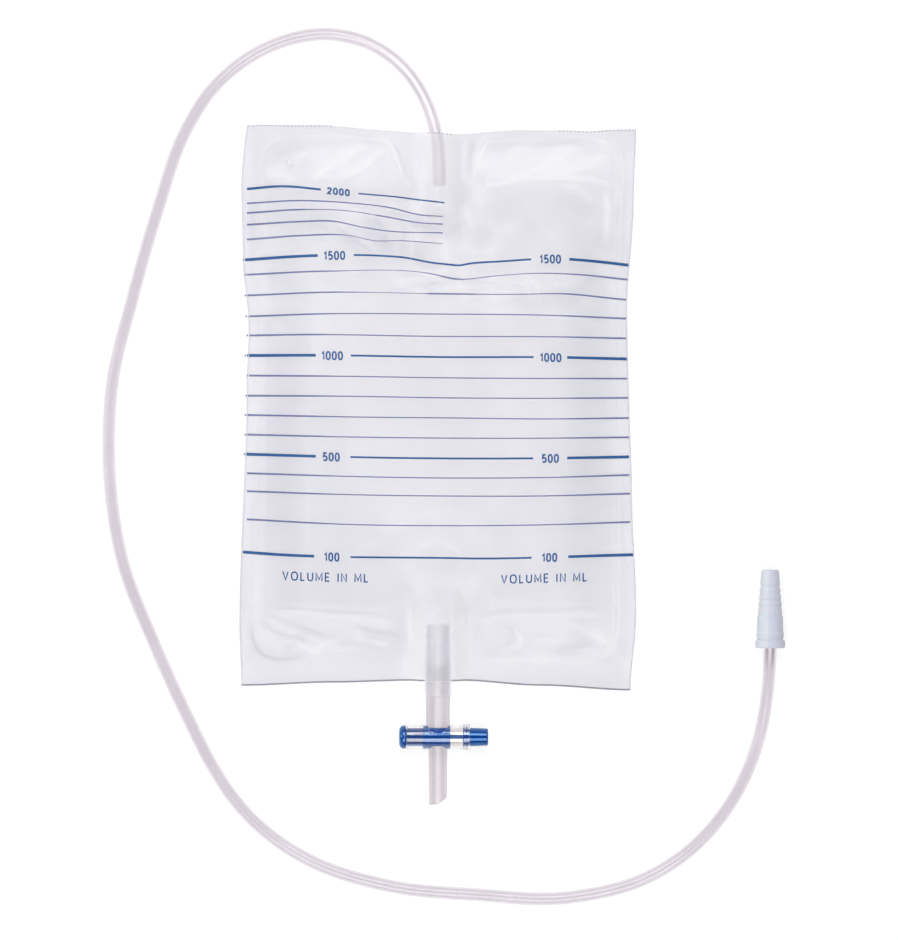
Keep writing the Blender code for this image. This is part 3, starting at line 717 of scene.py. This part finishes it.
# Soft patches of painted light and shade: middle in pixels, tone (painted shade below nought, painted light above it),
# and half width and height in millimetres
PATCHES = (
    (456, 230, -0.40, 5, 8),
    (414, 650, 0.30, 3, 15),
    (461, 650, 0.30, 3, 15),
    (438, 590, -0.18, 12, 6),
    (284, 440, -0.52, 9, 95),
    (584, 440, -0.42, 11, 95),
    (252, 228, -0.60, 4, 15),
    (330, 596, -0.28, 36, 8),
    (440, 400, 0.18, 60, 80),
    (330, 160, 0.30, 34, 9),
    (545, 162, 0.45, 38, 10),
    (300, 640, 0.16, 24, 9),
    (350, 668, 0.30, 60, 5),
    (560, 650, 0.34, 34, 14),
    (545, 668, 0.25, 50, 5),
    (520, 220, -0.05, 30, 16),
    (340, 270, 0.12, 26, 12),
    (258, 160, -0.30, 3, 16),
    (440, 606, -0.30, 22, 8),
    (243, 588, -0.55, 3, 22),
    (575, 215, -0.08, 8, 20),
    (466, 300, 0.16, 36, 10),
)

# Where the film is crumpled in small facets: middle in pixels, share, and half width and height in millimetres
CRUMPLED = (
    (420, 245, 1.0, 46, 19),
    (540, 292, 0.9, 34, 10),
    (330, 232, 0.8, 24, 13),
    (600, 240, 0.5, 12, 30),
    (330, 640, 0.7, 38, 10),
    (560, 640, 0.7, 38, 11),
    (400, 165, 0.7, 9, 14),
    (474, 165, 0.7, 9, 14),
    (530, 215, 0.35, 30, 14),
    (440, 480, 0.16, 80, 90),
    (270, 300, 0.5, 14, 20),
)

# Size in metres and seed of each noise
FACETS = (0.013, 9.1)
FOLDS = (0.011, 3.4)
FOLDED_WHERE = (0.02, 6.3)
BROAD = (0.045, 1.7)
SMALL = (0.014, 5.2)


def soft_noise(size, seed):
    found = np.zeros(X.shape)
    for r in range(X.shape[0]):
        for c in range(X.shape[1]):
            found[r, c] = noise.noise(Vector((X[r, c] / size, Y[r, c] / size, seed)))
    return found


def ramp(distance, start, length):
    return np.clip((distance - start) / length, 0, 1)


# The film is loose from a little way inside the sides, the top and the bottom: start and length of the change
loose = ramp(FROM_SIDE, 0.0063, 0.009) * ramp(DOWN, 0.002, 0.006) * ramp(BAG_LENGTH - DOWN, 0.012, 0.008)
lift = np.zeros(X.shape)
tone_and_painted_light = np.zeros(X.shape)
for points, height, width, shade in CREASES:
    shape = ridge(points, 1.0, width)
    lift += height * shape
    tone_and_painted_light += shade * 1000 * shape
for px, py, height, wide, tall in DENTS:
    lift += dent(px, py, height, wide, tall)
for px, py, shade, wide, tall in PATCHES:
    tone_and_painted_light += 1000 * dent(px, py, shade, wide, tall)
facets = np.tanh(4.5 * soft_noise(*FACETS))
creased = bell(soft_noise(*FOLDS), 0, 0.06) * np.clip(0.4 + 1.6 * soft_noise(*FOLDED_WHERE), 0, 1)
crumpled = np.clip(1000 * sum(dent(*patch) for patch in CRUMPLED), 0, 1)
broad = soft_noise(*BROAD)
small = soft_noise(*SMALL)

# What each noise adds to the film's height in metres, and to its tone: the folds and facets of crumpled film add
# painted highlights and painted shade, the broad and small noise uneven tone
lift += (0.00045 * broad + 0.00016 * small + (0.00022 * creased + 0.00012 * facets) * crumpled) * loose
tone_and_painted_light += 0.16 * broad + 0.14 * small + (1.1 * creased + 0.34 * facets - 0.14) * crumpled
front_z = FRONT + lift * np.clip(FREE, 0.25, 1) * (0.25 + 0.75 * loose)

# The line inside which the films part
WELDS = (
    ((259, 200), (257, 174), (261, 152), (270, 141), (285, 135), (330, 134), (378, 137)),
    ((259, 200), (258, 320), (259, 480), (257, 600)),
    ((257, 600), (256, 615)),
    ((414, 634), (412, 655), (408, 682)),
    ((462, 682), (457, 662), (454, 634)),
    ((540, 658), (594, 658), (610, 650), (615, 632), (616, 600)),
    ((616, 600), (617, 460), (616, 320), (618, 200)),
    ((618, 200), (619, 160), (612, 144), (596, 137), (540, 138), (486, 139)),
    ((378, 137), (392, 143), (402, 164), (407, 184)),
    ((486, 139), (478, 158), (470, 182)),
)

# Along it: a pressed groove, a low ridge, a light line beside it, which is a painted highlight, and a dark one on it,
# in metres from the line
GROOVE_DEPTH, GROOVE_WIDTH = 0.00021, 0.0008
RIDGE_HEIGHT, RIDGE_AT, RIDGE_WIDTH = 0.00024, 0.0016, 0.0012
LIGHT, LIGHT_AT, LIGHT_WIDTH = 0.45, 0.0010, 0.0008
DARK, DARK_WIDTH = 0.35, 0.0005
groove = np.zeros(X.shape)
rise = np.zeros(X.shape)
for points in WELDS:
    distance, _ = from_line(points)
    groove = np.maximum(groove, GROOVE_DEPTH * bell(distance, 0, GROOVE_WIDTH))
    rise = np.maximum(rise, RIDGE_HEIGHT * bell(distance, RIDGE_AT, RIDGE_WIDTH))
    tone_and_painted_light += LIGHT * bell(distance, LIGHT_AT, LIGHT_WIDTH) - DARK * bell(distance, 0, DARK_WIDTH)
front_z = front_z - groove + rise

# A light line near the sides
tone_and_painted_light += 0.30 * bell(FROM_SIDE, 0.0022, 0.0016) * ramp(DOWN, 0, 0.02)
tone_and_painted_light = np.clip(tone_and_painted_light, -1, 1)

# Where the films nearly meet, the front one levels off softly over the back one
NEAREST = 0.00022
SOFT = 0.00040
clearance = front_z - BACK - NEAREST
levelled = SOFT * np.exp(np.minimum(clearance, SOFT) / SOFT - 1)
front_z = BACK + NEAREST + np.where(clearance > SOFT, clearance, levelled)


def sheet_of(name, height, finish, shade):
    """An open sheet over the grid, without the faces inside the eyelet."""
    count_r, count_c = X.shape
    vertices = np.stack([X, Y, height], axis=-1).reshape(-1, 3)
    faces = []
    for r in range(count_r - 1):
        for c in range(count_c - 1):
            cx = (X[r, c] + X[r + 1, c + 1]) / 2 - EYELET_X
            cy = (Y[r, c] + Y[r + 1, c + 1]) / 2 - EYELET_Y
            if cx * cx + cy * cy > (EYELET / 2 - 0.0005) ** 2:
                at = r * count_c + c
                faces.append((at, at + count_c, at + count_c + 1, at + 1))
    made = add_mesh(name, vertices, faces, finish)
    painted = made.data.attributes.new("tone_and_painted_light", "FLOAT", "POINT")
    painted.data.foreach_set("value", shade.reshape(-1).astype(np.float32))
    return made


def steepness(height):
    """None where a film lies flat, and up to one where it stands upright."""
    surface = np.stack([X, Y, height], axis=-1)
    normal = np.cross(np.gradient(surface, axis=0), np.gradient(surface, axis=1))
    return 1 - np.abs(normal[..., 2]) / np.maximum(np.linalg.norm(normal, axis=-1), 1e-12)


# A steep film is shaded darker by the lamps, so its tone is lightened in step: painted light that evens out that shade
STEEP_PAINTED_LIGHT = 2.0
STEEPEST = 0.35
tone_and_painted_light = np.clip(tone_and_painted_light + STEEP_PAINTED_LIGHT * np.clip(steepness(front_z), 0, STEEPEST), -1, 1.1)
back_tone_and_painted_light = 0.15 * broad + STEEP_PAINTED_LIGHT * np.clip(steepness(BACK), 0, STEEPEST)
back = sheet_of("back_sheet", BACK, film_back, back_tone_and_painted_light)
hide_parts("back_film")
front = sheet_of("front_sheet", front_z, film_clear, tone_and_painted_light)
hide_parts("front_film")

front_tree = BVHTree.FromPolygons([v.co for v in front.data.vertices], [tuple(p.vertices) for p in front.data.polygons])


def film_height(x, y):
    hit = front_tree.ray_cast(Vector((x, y, 0.1)), Vector((0, 0, -1)))[0]
    return hit.z if hit else WELD_Z


# Printed scale: lines and numbers lie on the front film and bend with it
PRINT_LIFT = 0.00006
LABELS = {
    "2000": (338.5,), "1500": (334.5, 550), "1000": (332.3, 550.4), "500": (331.3, 550.1), "100": (331.8, 549.3),
}
MAIN_LINES = (
    ("2000", (247, 189), (281, 186.5), (321, 190), (359, 194), (400, 197.6), (444.3, 203.4)),
    (
        "1500", (245, 259.9), (290, 257), (330, 255.6), (380, 256), (405, 257.9), (432, 262.9), (447, 264.5),
        (459, 265.5), (470, 263.8), (500, 261.8), (550, 259.1), (600, 262), (629, 265.3),
    ),
    ("1000", (247, 355.5), (330, 355.5), (440, 357.2), (550, 357.4), (627, 359)),
    ("500", (246, 454.2), (330, 456.6), (440, 458.4), (550, 458.2), (629, 456.9)),
    (
        "100", (243, 552), (280, 554.6), (330, 556.5), (440, 557.8), (480, 558.4), (550, 557.1), (600, 555.6),
        (633.2, 554.7),
    ),
)
MAIN_GAPS = {
    "2000": ((321, 358.6),),
    "1500": ((318, 354), (531, 569)),
    "1000": ((316, 351), (533.5, 567)),
    "500": ((316, 350.5), (533, 567)),
    "100": ((314.4, 350.5), (531.4, 568)),
}
FINE_LINES = (
    ((247, 203.4), (295, 201), (345, 203), (390, 208), (420, 215), (443, 216.8)),
    ((247, 213), (300, 210), (345, 211), (385, 217), (420, 223), (443, 224.3)),
    ((247, 224.8), (300, 222), (335, 221.8), (360, 227), (385, 231), (443, 233.1)),
    ((247, 239.6), (300, 236), (350, 236), (375, 241), (400, 241), (443, 243.9)),
    ((247, 274.7), (330, 271.4), (430, 273.8), (455, 279), (500, 275.8), (530, 273.8), (580, 275), (628, 279.7)),
    ((247, 295.5), (330, 292.5), (440, 294), (520, 294.6), (560, 294), (626, 299.8)),
    ((248, 316.4), (330, 314), (440, 314.3), (550, 315.6), (626, 318.6)),
    ((249, 335.5), (300, 334.8), (440, 336.6), (550, 337), (626, 338.4)),
    ((249, 375.6), (340, 376.4), (450, 378), (550, 378.6), (627, 378.6)),
    ((248, 395.7), (350, 396.4), (450, 398), (550, 398.4), (628, 397.9)),
    ((247, 415), (350, 417), (450, 418), (550, 419), (629, 418)),
    ((247, 434.6), (350, 437), (450, 438.2), (550, 438.2), (629, 437.3)),
    ((247, 473.2), (350, 476.4), (450, 478), (550, 477.4), (629, 475)),
    ((247, 491.2), (350, 494.6), (450, 496), (550, 495.8), (630, 493.6)),
    ((247, 519.3), (350, 524.4), (450, 525.6), (550, 524.6), (630, 522)),
)


def line_y(points, px):
    """The height of a printed line at a pixel column, along a smooth curve through its points."""
    points = np.array(points, float)
    slopes = np.gradient(points[:, 1], points[:, 0])
    i = min(max(int(np.searchsorted(points[:, 0], px)) - 1, 0), len(points) - 2)
    span = points[i + 1, 0] - points[i, 0]
    from_start, to_end, start_slope, end_slope = hermite(min(max((px - points[i, 0]) / span, 0), 1))
    value = points[i, 1] * from_start + points[i + 1, 1] * to_end
    return value + span * (slopes[i] * start_slope + slopes[i + 1] * end_slope)


def next_quad(vertices, faces):
    """Join the last two pairs of points of a ribbon."""
    at = len(vertices) - 4
    faces.append((at, at + 2, at + 3, at + 1))


def ribbon(points, start, end, widths, vertices, faces):
    """A printed line from one pixel column to another, laid on the film, its width given at some columns."""
    columns, wide = zip(*widths)
    count = max(2, int((end - start) / 1.6))
    for k in range(count + 1):
        px = start + (end - start) * k / count
        py = line_y(points, px)
        width = float(np.interp(px, columns, wide))
        for offset in (-width / 2, width / 2):
            x, y = place(px, py + offset)
            vertices.append((x, y, film_height(x, y) + PRINT_LIFT))
        if k:
            next_quad(vertices, faces)


def loop_of(width):
    """A narrow rounded loop, as in a nought."""
    found = []
    for i in range(25):
        angle = 2 * pi * i / 24
        c, s = (0.5 * abs(v) ** 0.8 * (1 if v > 0 else -1) for v in (cos(angle), sin(angle)))
        found.append((width / 2 + width * c, 0.5 + s))
    return tuple(found)


# Strokes of each character in a box one unit high, after its width
STROKES = {
    "0": (0.42, loop_of(0.42)),
    "1": (0.22, ((0.0, 0.74), (0.12, 0.84), (0.20, 1.0), (0.20, 0.0))),
    "2": (0.44, (
        (0.02, 0.74), (0.06, 0.92), (0.22, 1.0), (0.38, 0.92), (0.42, 0.72), (0.34, 0.48), (0.14, 0.22), (0.02, 0.0),
        (0.44, 0.0),
    )),
    "5": (0.42, (
        (0.40, 1.0), (0.08, 1.0), (0.04, 0.52), (0.20, 0.62), (0.36, 0.54), (0.42, 0.32), (0.36, 0.08), (0.20, 0.0),
        (0.02, 0.10),
    )),
    "V": (0.66, ((0.0, 1.0), (0.33, 0.0), (0.66, 1.0))),
    "O": (0.74, loop_of(0.74)),
    "L": (0.44, ((0.0, 1.0), (0.0, 0.0), (0.44, 0.0))),
    "U": (0.60, ((0.0, 1.0), (0.0, 0.30), (0.09, 0.07), (0.30, 0.0), (0.51, 0.07), (0.60, 0.30), (0.60, 1.0))),
    "M": (0.74, ((0.0, 0.0), (0.0, 1.0), (0.37, 0.18), (0.74, 1.0), (0.74, 0.0))),
    "E": (0.48, ((0.48, 1.0), (0.0, 1.0), (0.0, 0.0), (0.48, 0.0)), ((0.0, 0.52), (0.42, 0.52))),
    "I": (0.02, ((0.01, 0.0), (0.01, 1.0))),
    "N": (0.58, ((0.0, 0.0), (0.0, 1.0), (0.58, 0.0), (0.58, 1.0))),
    " ": (0.22,),
}


def stroke_sides(line, width):
    """Both sides of a stroke, mitred at its corners."""
    line = [Vector(p) for p in line]
    closed = (line[0] - line[-1]).length < 1e-4
    found = []
    for i, point in enumerate(line):
        before = line[i - 1] if i else (line[-2] if closed else None)
        after = line[i + 1] if i + 1 < len(line) else (line[1] if closed else None)
        first = (point - before).normalized() if before is not None else (after - point).normalized()
        last = (after - point).normalized() if after is not None else first
        tangent = (first + last).normalized()
        across = Vector((-tangent.y, tangent.x))
        reach = width / 2 / max(0.55, across.dot(Vector((-first.y, first.x))))
        found.append((point + across * reach, point - across * reach))
    return found


def lettering(words, centre, height, weight, spacing, follow, vertices, faces, wide=1.0):
    """Plain characters laid on the film, their middle on a pixel, following a printed line. Sizes are in pixels."""
    total = sum(STROKES[c][0] for c in words) * height * wide + spacing * (len(words) - 1)
    pen = centre[0] - total / 2
    for character in words:
        width, *lines = STROKES[character]
        for line in lines:
            drawn = [(pen + x * height * wide, centre[1] + (0.5 - y) * height) for x, y in line]
            for k, sides in enumerate(stroke_sides(drawn, weight)):
                for px, py in sides:
                    x, y = place(px, py + line_y(follow, px) - line_y(follow, centre[0]))
                    vertices.append((x, y, film_height(x, y) + PRINT_LIFT))
                if k:
                    next_quad(vertices, faces)
        pen += width * height * wide + spacing


# Widths of the lines at some pixel columns, in pixels
MAIN_WIDTHS = ((247, 3.0), (318, 2.8), (350, 1.92), (532, 1.92), (568, 2.7), (630, 3.0))
FIRST_WIDTHS = ((247, 2.5), (318, 2.2), (358, 1.6), (380, 1.4), (444, 1.5))
FINE_WIDTHS = ((247, 2.0), (256, 1.85), (312, 1.75), (335, 1.2), (560, 1.2), (580, 1.6), (615, 1.75), (630, 1.95))
BENT_WIDTHS = {
    0: ((247, 1.6), (310, 1.5), (372, 1.1), (384, 1.4), (424, 1.4), (434, 1.0), (443, 1.0)),
    1: ((247, 1.8), (300, 1.7), (318, 0.9), (374, 0.8), (378, 1.4), (420, 1.3), (443, 1.3)),
    2: ((247, 1.9), (330, 1.6), (362, 1.0), (372, 1.2), (412, 1.2), (416, 0.9), (443, 1.2)),
    3: ((247, 1.8), (330, 1.6), (350, 0.8), (372, 0.8), (428, 0.9), (434, 0.7), (443, 0.6)),
    4: (
        (247, 1.9), (320, 1.6), (350, 0.7), (420, 0.7), (430, 1.2), (456, 1.8), (464, 1.1), (520, 0.8), (560, 1.3),
        (628, 1.9),
    ),
    5: (
        (247, 1.9), (330, 1.5), (372, 0.7), (424, 0.7), (430, 1.7), (470, 1.5), (480, 1.0), (545, 1.0), (575, 1.6),
        (626, 1.8),
    ),
}
deep_points, deep_faces = [], []
for label, *points in MAIN_LINES:
    first = label == "2000"
    stops = [points[0][0], *[edge for gap in MAIN_GAPS[label] for edge in gap], points[-1][0]]
    for start, end in zip(stops[::2], stops[1::2]):
        ribbon(points, start, end, FIRST_WIDTHS if first else MAIN_WIDTHS, deep_points, deep_faces)
    tall, wide = (5.6, 1.45) if first else (7.4, 1.15)
    for px in LABELS[label]:
        lettering(label, (px, line_y(points, px) + 0.3), tall, 1.7, 2.5, points, deep_points, deep_faces, wide)
caption_line = MAIN_LINES[-1][1:]
for centre in ((325.5, 577), (544, 578)):
    lettering("VOLUME IN ML", centre, 7.9, 1.4, 3.5, caption_line, deep_points, deep_faces)
fine_points, fine_faces = [], []
for k, points in enumerate(FINE_LINES):
    ribbon(points, points[0][0], points[-1][0], BENT_WIDTHS.get(k, FINE_WIDTHS), fine_points, fine_faces)

# Short ticks left of some lines, past the cut
for points in (*[line[1:] for line in MAIN_LINES[1:4]], *FINE_LINES[4:12]):
    end = points[0][0]
    ribbon(points, end - 2.4, end - 1.0, ((end, 1.8),), deep_points, deep_faces)
add_mesh("printed_scale", deep_points, deep_faces, print_deep, smooth=False)
add_mesh("printed_fine_lines", fine_points, fine_faces, print_fine, smooth=False)


def edging(name, lines, width, finish):
    """Narrow strips along cut edges of the films, as one piece. Each line of points comes with its way out."""
    vertices, faces = [], []
    for line, (out_x, out_y) in lines:
        for k, (x, y, z) in enumerate(line):
            vertices.append((x, y, z + 0.00005))
            vertices.append((x - out_x * width, y - out_y * width, z + 0.00007))
            if k:
                next_quad(vertices, faces)
    add_mesh(name, vertices, faces, finish, smooth=False)


# Cut edges of the two films, darker where they are seen edge-on; the dark strip along the bottom is partly painted
# shadow under the edge
bottom = [(X[-1, c], Y[-1, c], front_z[-1, c]) for c in range(X.shape[1])]
left = [(X[r, 0], Y[r, 0], front_z[r, 0]) for r in range(X.shape[0])]
right = [(X[r, -1], Y[r, -1], front_z[r, -1]) for r in range(X.shape[0])]
bottom_left = [point for point in bottom if point[0] < -STRETCHED / 2]
bottom_right = [point for point in bottom if point[0] > STRETCHED / 2]
edging("cut_edges", ((bottom_left, (0, -1)), (bottom_right, (0, -1))), 0.00080, film_edge_and_shadow)
edging("side_edges", ((left, (-1, 0)), (right, (1, 0))), 0.00070, film_side)

# Nicks of the tear-off line at the top, shallower in two stretches of the edge
NICK_STEP = 0.002
nick_points, nick_faces = [], []
for k in range(int((X[0, -1] - X[0, 0]) / NICK_STEP)):
    x = X[0, 0] + 0.0006 + k * NICK_STEP
    px = x / PIXEL + ORIGIN_PIXEL[0]
    deep = 1.0 if px < 332 or px > 558 or 424 < px < 452 else 0.45
    y = float(np.interp(x, X[0], Y[0]))
    z = film_height(x, y - 0.0006) + 0.0001
    at = len(nick_points)
    foot = y - 0.0005 * deep
    nick_points += [(x, y + 0.0001, z), (x + 0.0009 * deep, y + 0.0001, z)]
    nick_points += [(x + 0.0008 * deep, foot, z), (x + 0.0001, foot, z)]
    nick_faces.append((at, at + 3, at + 2, at + 1))
add_mesh("tear_nicks", nick_points, nick_faces, film_edge_and_shadow, smooth=False)

# Eyelet rim: a low welded ring
RIM_SIDES, RIM_ROUND = 40, 8
RIM_WIDTH, RIM_HEIGHT = 0.00075, 0.00016
rim_points, rim_faces = [], []
for i in range(RIM_SIDES):
    for j in range(RIM_ROUND):
        a, b = 2 * pi * i / RIM_SIDES, 2 * pi * j / RIM_ROUND
        out = EYELET / 2 - 0.00005 + RIM_WIDTH * cos(b)
        z = WELD_Z + 0.00010 + RIM_HEIGHT * sin(b)
        rim_points.append((EYELET_X + out * cos(a), EYELET_Y + out * sin(a), z))
        k, l = (i + 1) % RIM_SIDES, (j + 1) % RIM_ROUND
        rim_faces.append((i * RIM_ROUND + j, k * RIM_ROUND + j, k * RIM_ROUND + l, i * RIM_ROUND + l))
add_mesh("eyelet_rim", rim_points, rim_faces, film_rim)


def turned(outline, along, origin, sides=80):
    """A temporary solid of revolution from (distance, radius) points round the direction `along`."""
    shape = bmesh.new()
    points = [shape.verts.new((radius, 0, distance)) for distance, radius in outline]
    edges = [shape.edges.new(pair) for pair in zip(points, points[1:])]
    bmesh.ops.spin(
        shape, geom=points + edges, axis=(0, 0, 1), cent=(0, 0, 0), angle=2 * pi, steps=sides, use_merge=True
    )
    bmesh.ops.remove_doubles(shape, verts=shape.verts, dist=1e-6)
    turn = Vector((0, 0, 1)).rotation_difference(Vector(along)).to_matrix().to_4x4()
    bmesh.ops.transform(shape, matrix=Matrix.Translation(origin) @ turn, verts=shape.verts)
    return temporary(shape)


def temporary(shape):
    bmesh.ops.recalc_face_normals(shape, faces=shape.faces)
    mesh = bpy.data.meshes.new("temporary")
    shape.to_mesh(mesh)
    shape.free()
    return placed("temporary", mesh)


def closed(outline):
    """An outline of (distance, radius) points, closed at both ends on the axis."""
    return [(outline[0][0], 0), *outline, (outline[-1][0], 0)]


def combined(name, base, steps, finish, body):
    """Join solids to a base or cut them away, and keep the result as one piece."""
    for operation, tool in steps:
        step = base.modifiers.new("step", "BOOLEAN")
        step.operation = operation
        step.solver = "EXACT"
        step.object = tool
    bpy.context.view_layer.update()
    solid = bpy.data.meshes.new_from_object(base.evaluated_get(bpy.context.evaluated_depsgraph_get()))
    for old in (base, *(tool for _, tool in steps)):
        bpy.data.objects.remove(old, do_unlink=True)
    solid.name = name
    solid.materials.clear()
    solid.materials.append(finish)
    solid.shade_smooth()
    solid.set_sharp_from_angle(angle=pi / 6)
    made = placed(name, solid)
    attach(made, body)
    return made


# Tap body: one clear moulding with softened edges, its neck and spout hazier than its barrel
SOFTEN = 0.0003
WETTED = 0.00002
shoulder = STUB_LENGTH + GAP / 6
ports = STUB_Y - BARREL_Y
tip = ports + SPOUT_LENGTH
stub_end = (0, STUB_Y, OUTLET_Z)
port = (0, BARREL_Y, OUTLET_Z)
way_down = turned(closed([
    (0, STUB / 2 - STUB_CHAMFER), (2 * STUB_CHAMFER, STUB / 2), (shoulder, STUB / 2),
    (shoulder, NECK / 2 - SOFTEN), (shoulder + SOFTEN, NECK / 2), (ports, NECK_FOOT / 2), (ports, SPOUT_ROOT / 2),
    (tip - SOFTEN, SPOUT_TIP / 2), (tip, SPOUT_TIP / 2 - SOFTEN),
]), (0, -1, 0), stub_end)
shape = bmesh.new()
shape.from_mesh(way_down.data)
sliced = bmesh.ops.bisect_plane(
    shape, geom=[*shape.verts, *shape.edges, *shape.faces], plane_co=(0, STUB_Y - tip, 0),
    plane_no=(SPOUT_SLANT, -SPOUT_TIP / 2, 0), clear_outer=True,
)
bmesh.ops.contextual_create(shape, geom=[e for e in sliced["geom_cut"] if isinstance(e, bmesh.types.BMEdge)])
bmesh.ops.recalc_face_normals(shape, faces=shape.faces)
shape.to_mesh(way_down.data)
shape.free()
lip = BARREL_RIGHT - LIP_WIDTH
barrel = turned(closed([
    (-BARREL_LEFT, BARREL / 2 - SOFTEN), (SOFTEN - BARREL_LEFT, BARREL / 2), (lip - EDGE, BARREL / 2),
    (lip, LIP / 2), (BARREL_RIGHT - SOFTEN, LIP / 2), (BARREL_RIGHT, LIP / 2 - SOFTEN),
]), (1, 0, 0), port)
bore = PISTON / 2 - WETTED
bore_drill = turned(closed([(-0.02, bore), (0.02, bore)]), (1, 0, 0), port)
flow_drill = turned(closed([
    (-0.002, STUB_BORE / 2), (ports, STUB_BORE / 2), (ports, SPOUT_BORE / 2), (tip + 0.002, SPOUT_BORE / 2),
]), (0, -1, 0), stub_end)
steps = (("UNION", barrel), ("DIFFERENCE", bore_drill), ("DIFFERENCE", flow_drill))
moulding = combined("tap_moulding", way_down, steps, tap_clear, "root")
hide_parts("tap_body")
moulding.data.materials.append(tap_hazy)
moulding.data.materials.append(tap_inside)
for polygon in moulding.data.polygons:
    x, y, z = polygon.center
    off_barrel = abs(y - BARREL_Y)
    inner = (STUB_BORE if y > BARREL_Y else SPOUT_BORE) / 2
    if off_barrel > BARREL / 2:
        in_sleeve = y > BARREL_Y + NECK_LENGTH - 0.0002
        polygon.material_index = 2 if in_sleeve or (x * x + (z - OUTLET_Z) ** 2) ** 0.5 < inner + 0.0001 else 1

# Tap plunger: domed flange, ribbed stem, piston, waist, two seal beads and the knob
face = -BARREL_LEFT - GAP
end = face - FLANGE_THICKNESS
dome = ((0.0, 0.0020), (0.0002, 0.0014), (0.0005, 0.0009), (0.0009, 0.0005), (0.0014, 0.0002), (0.0020, 0.0))
outline = [(end + distance, FLANGE / 2 - inside) for distance, inside in dome]
outline += [(face - EDGE, FLANGE / 2), (face, FLANGE / 2 - EDGE), (face, CORE / 2), (-PISTON_LEFT, CORE / 2)]
outline += [(-PISTON_LEFT, PISTON / 2), (PISTON_RIGHT, PISTON / 2), (PISTON_RIGHT, CORE / 2), (SEALS_LEFT, CORE / 2)]
for i in range(2):
    bead = SEALS_LEFT + i * (SEAL + SEAL_GROOVE)
    outline += [(bead, PISTON / 2 - SOFTEN), (bead + SOFTEN, PISTON / 2), (bead + SEAL - SOFTEN, PISTON / 2)]
    outline += [(bead + SEAL, PISTON / 2 - SOFTEN), (bead + SEAL + SEAL_GROOVE, PISTON / 2 - SOFTEN)]
outline += [(outline[-1][0] + EDGE, PISTON / 2), (KNOB_RIGHT - 2 * EDGE, KNOB_END / 2)]
outline += [(KNOB_RIGHT - EDGE / 2, KNOB_END / 2 - EDGE / 2), (KNOB_RIGHT, KNOB_END / 2 - EDGE)]
solid = turned(closed(outline), (1, 0, 0), port)
steps = []
wide, thin = PISTON / 2 - EDGE / 2, FIN / 2
for y, z in ((wide, thin), (thin, wide)):
    shape = bmesh.new()
    bmesh.ops.create_cube(shape, size=1)
    bmesh.ops.scale(shape, vec=(EDGE - PISTON_LEFT - face + EDGE, 2 * y, 2 * z), verts=shape.verts)
    bmesh.ops.translate(shape, vec=((EDGE - PISTON_LEFT + face - EDGE) / 2, BARREL_Y, OUTLET_Z), verts=shape.verts)
    steps.append(("UNION", temporary(shape)))
plunger = combined("plunger_moulding", solid, steps, tap_blue, "plunger")
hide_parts("tap_plunger")

# Materials of the pieces that keep their CAD shape
for name, finish in (("catheter_connector", connector_pale), ("outlet_sleeve", sleeve_clear)):
    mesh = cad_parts[name].data
    mesh.materials.clear()
    mesh.materials.append(finish)

# Floor: white to the eye and in reflections, and a plain diffuser for the light on the object
floor = placed("floor", bpy.data.meshes.new("floor"))
floor.data.from_pydata([(-4, -4, 0), (4, -4, 0), (4, 4, 0), (-4, 4, 0)], [], [(0, 1, 2, 3)])
floor.location.z = -0.0002
floor_white = bpy.data.materials.new("floor_white")
floor_white.use_nodes = True
tree = floor_white.node_tree
tree.nodes.clear()
shown = node(tree, "BsdfDiffuse", {"Color": (0.30, 0.30, 0.30)})
shown = node(tree, "AddShader", {0: shown, 1: node(tree, "Emission", {"Strength": 0.75})})
rays = seen_by(tree, "Is Camera Ray", "Is Glossy Ray", "Is Transmission Ray")
surface = node(tree, "MixShader", {0: rays, 1: node(tree, "BsdfDiffuse", {"Color": (0.8, 0.8, 0.8)}), 2: shown})
feed(tree.nodes.new("ShaderNodeOutputMaterial").inputs["Surface"], surface)
floor.data.materials.append(floor_white)

# World: white behind the object, dim as a light, and in reflections bright low down and dark overhead
world = bpy.data.worlds.new("studio")
bpy.context.scene.world = world
world.use_nodes = True
tree = world.node_tree
tree.nodes.clear()
height = node(tree, "SeparateXYZ", {0: node(tree, "TexCoord", output="Generated")}, "Z")
mirrored = ranged(tree, height, (0.45, 0.15), (0.06, 1))
light = node(tree, "Mix", {0: seen_by(tree, "Is Glossy Ray", "Is Transmission Ray"), 2: 0.30, 3: mirrored})
light = node(tree, "Mix", {0: seen_by(tree, "Is Camera Ray"), 2: light, 3: 1.0})
background = node(tree, "Background", {"Strength": light})
feed(tree.nodes.new("ShaderNodeOutputWorld").inputs["Surface"], background)


def softbox(name, where, size, radiance):
    """An area lamp aimed at the bag, set by the brightness of its face."""
    lamp = bpy.data.lights.new(name, "AREA")
    lamp.shape = "RECTANGLE"
    lamp.size, lamp.size_y = size
    lamp.energy = radiance * pi * size[0] * size[1]
    holder = placed(name, lamp)
    holder.location = where
    holder.rotation_euler = (Vector((0, 0, 0)) - Vector(where)).to_track_quat("-Z", "Y").to_euler()


softbox("top_box", (0.0, 0.88, 1.32), (1.5, 0.86), 3.5)
softbox("bottom_box", (0.0, -0.88, 1.32), (1.5, 0.86), 2.8)
softbox("left_box", (-1.2, 0.1, 0.9), (0.5, 0.9), 2.6)
softbox("ridge_box", (-0.20, 0.0, 1.5), (1.0, 0.10), 4.0)
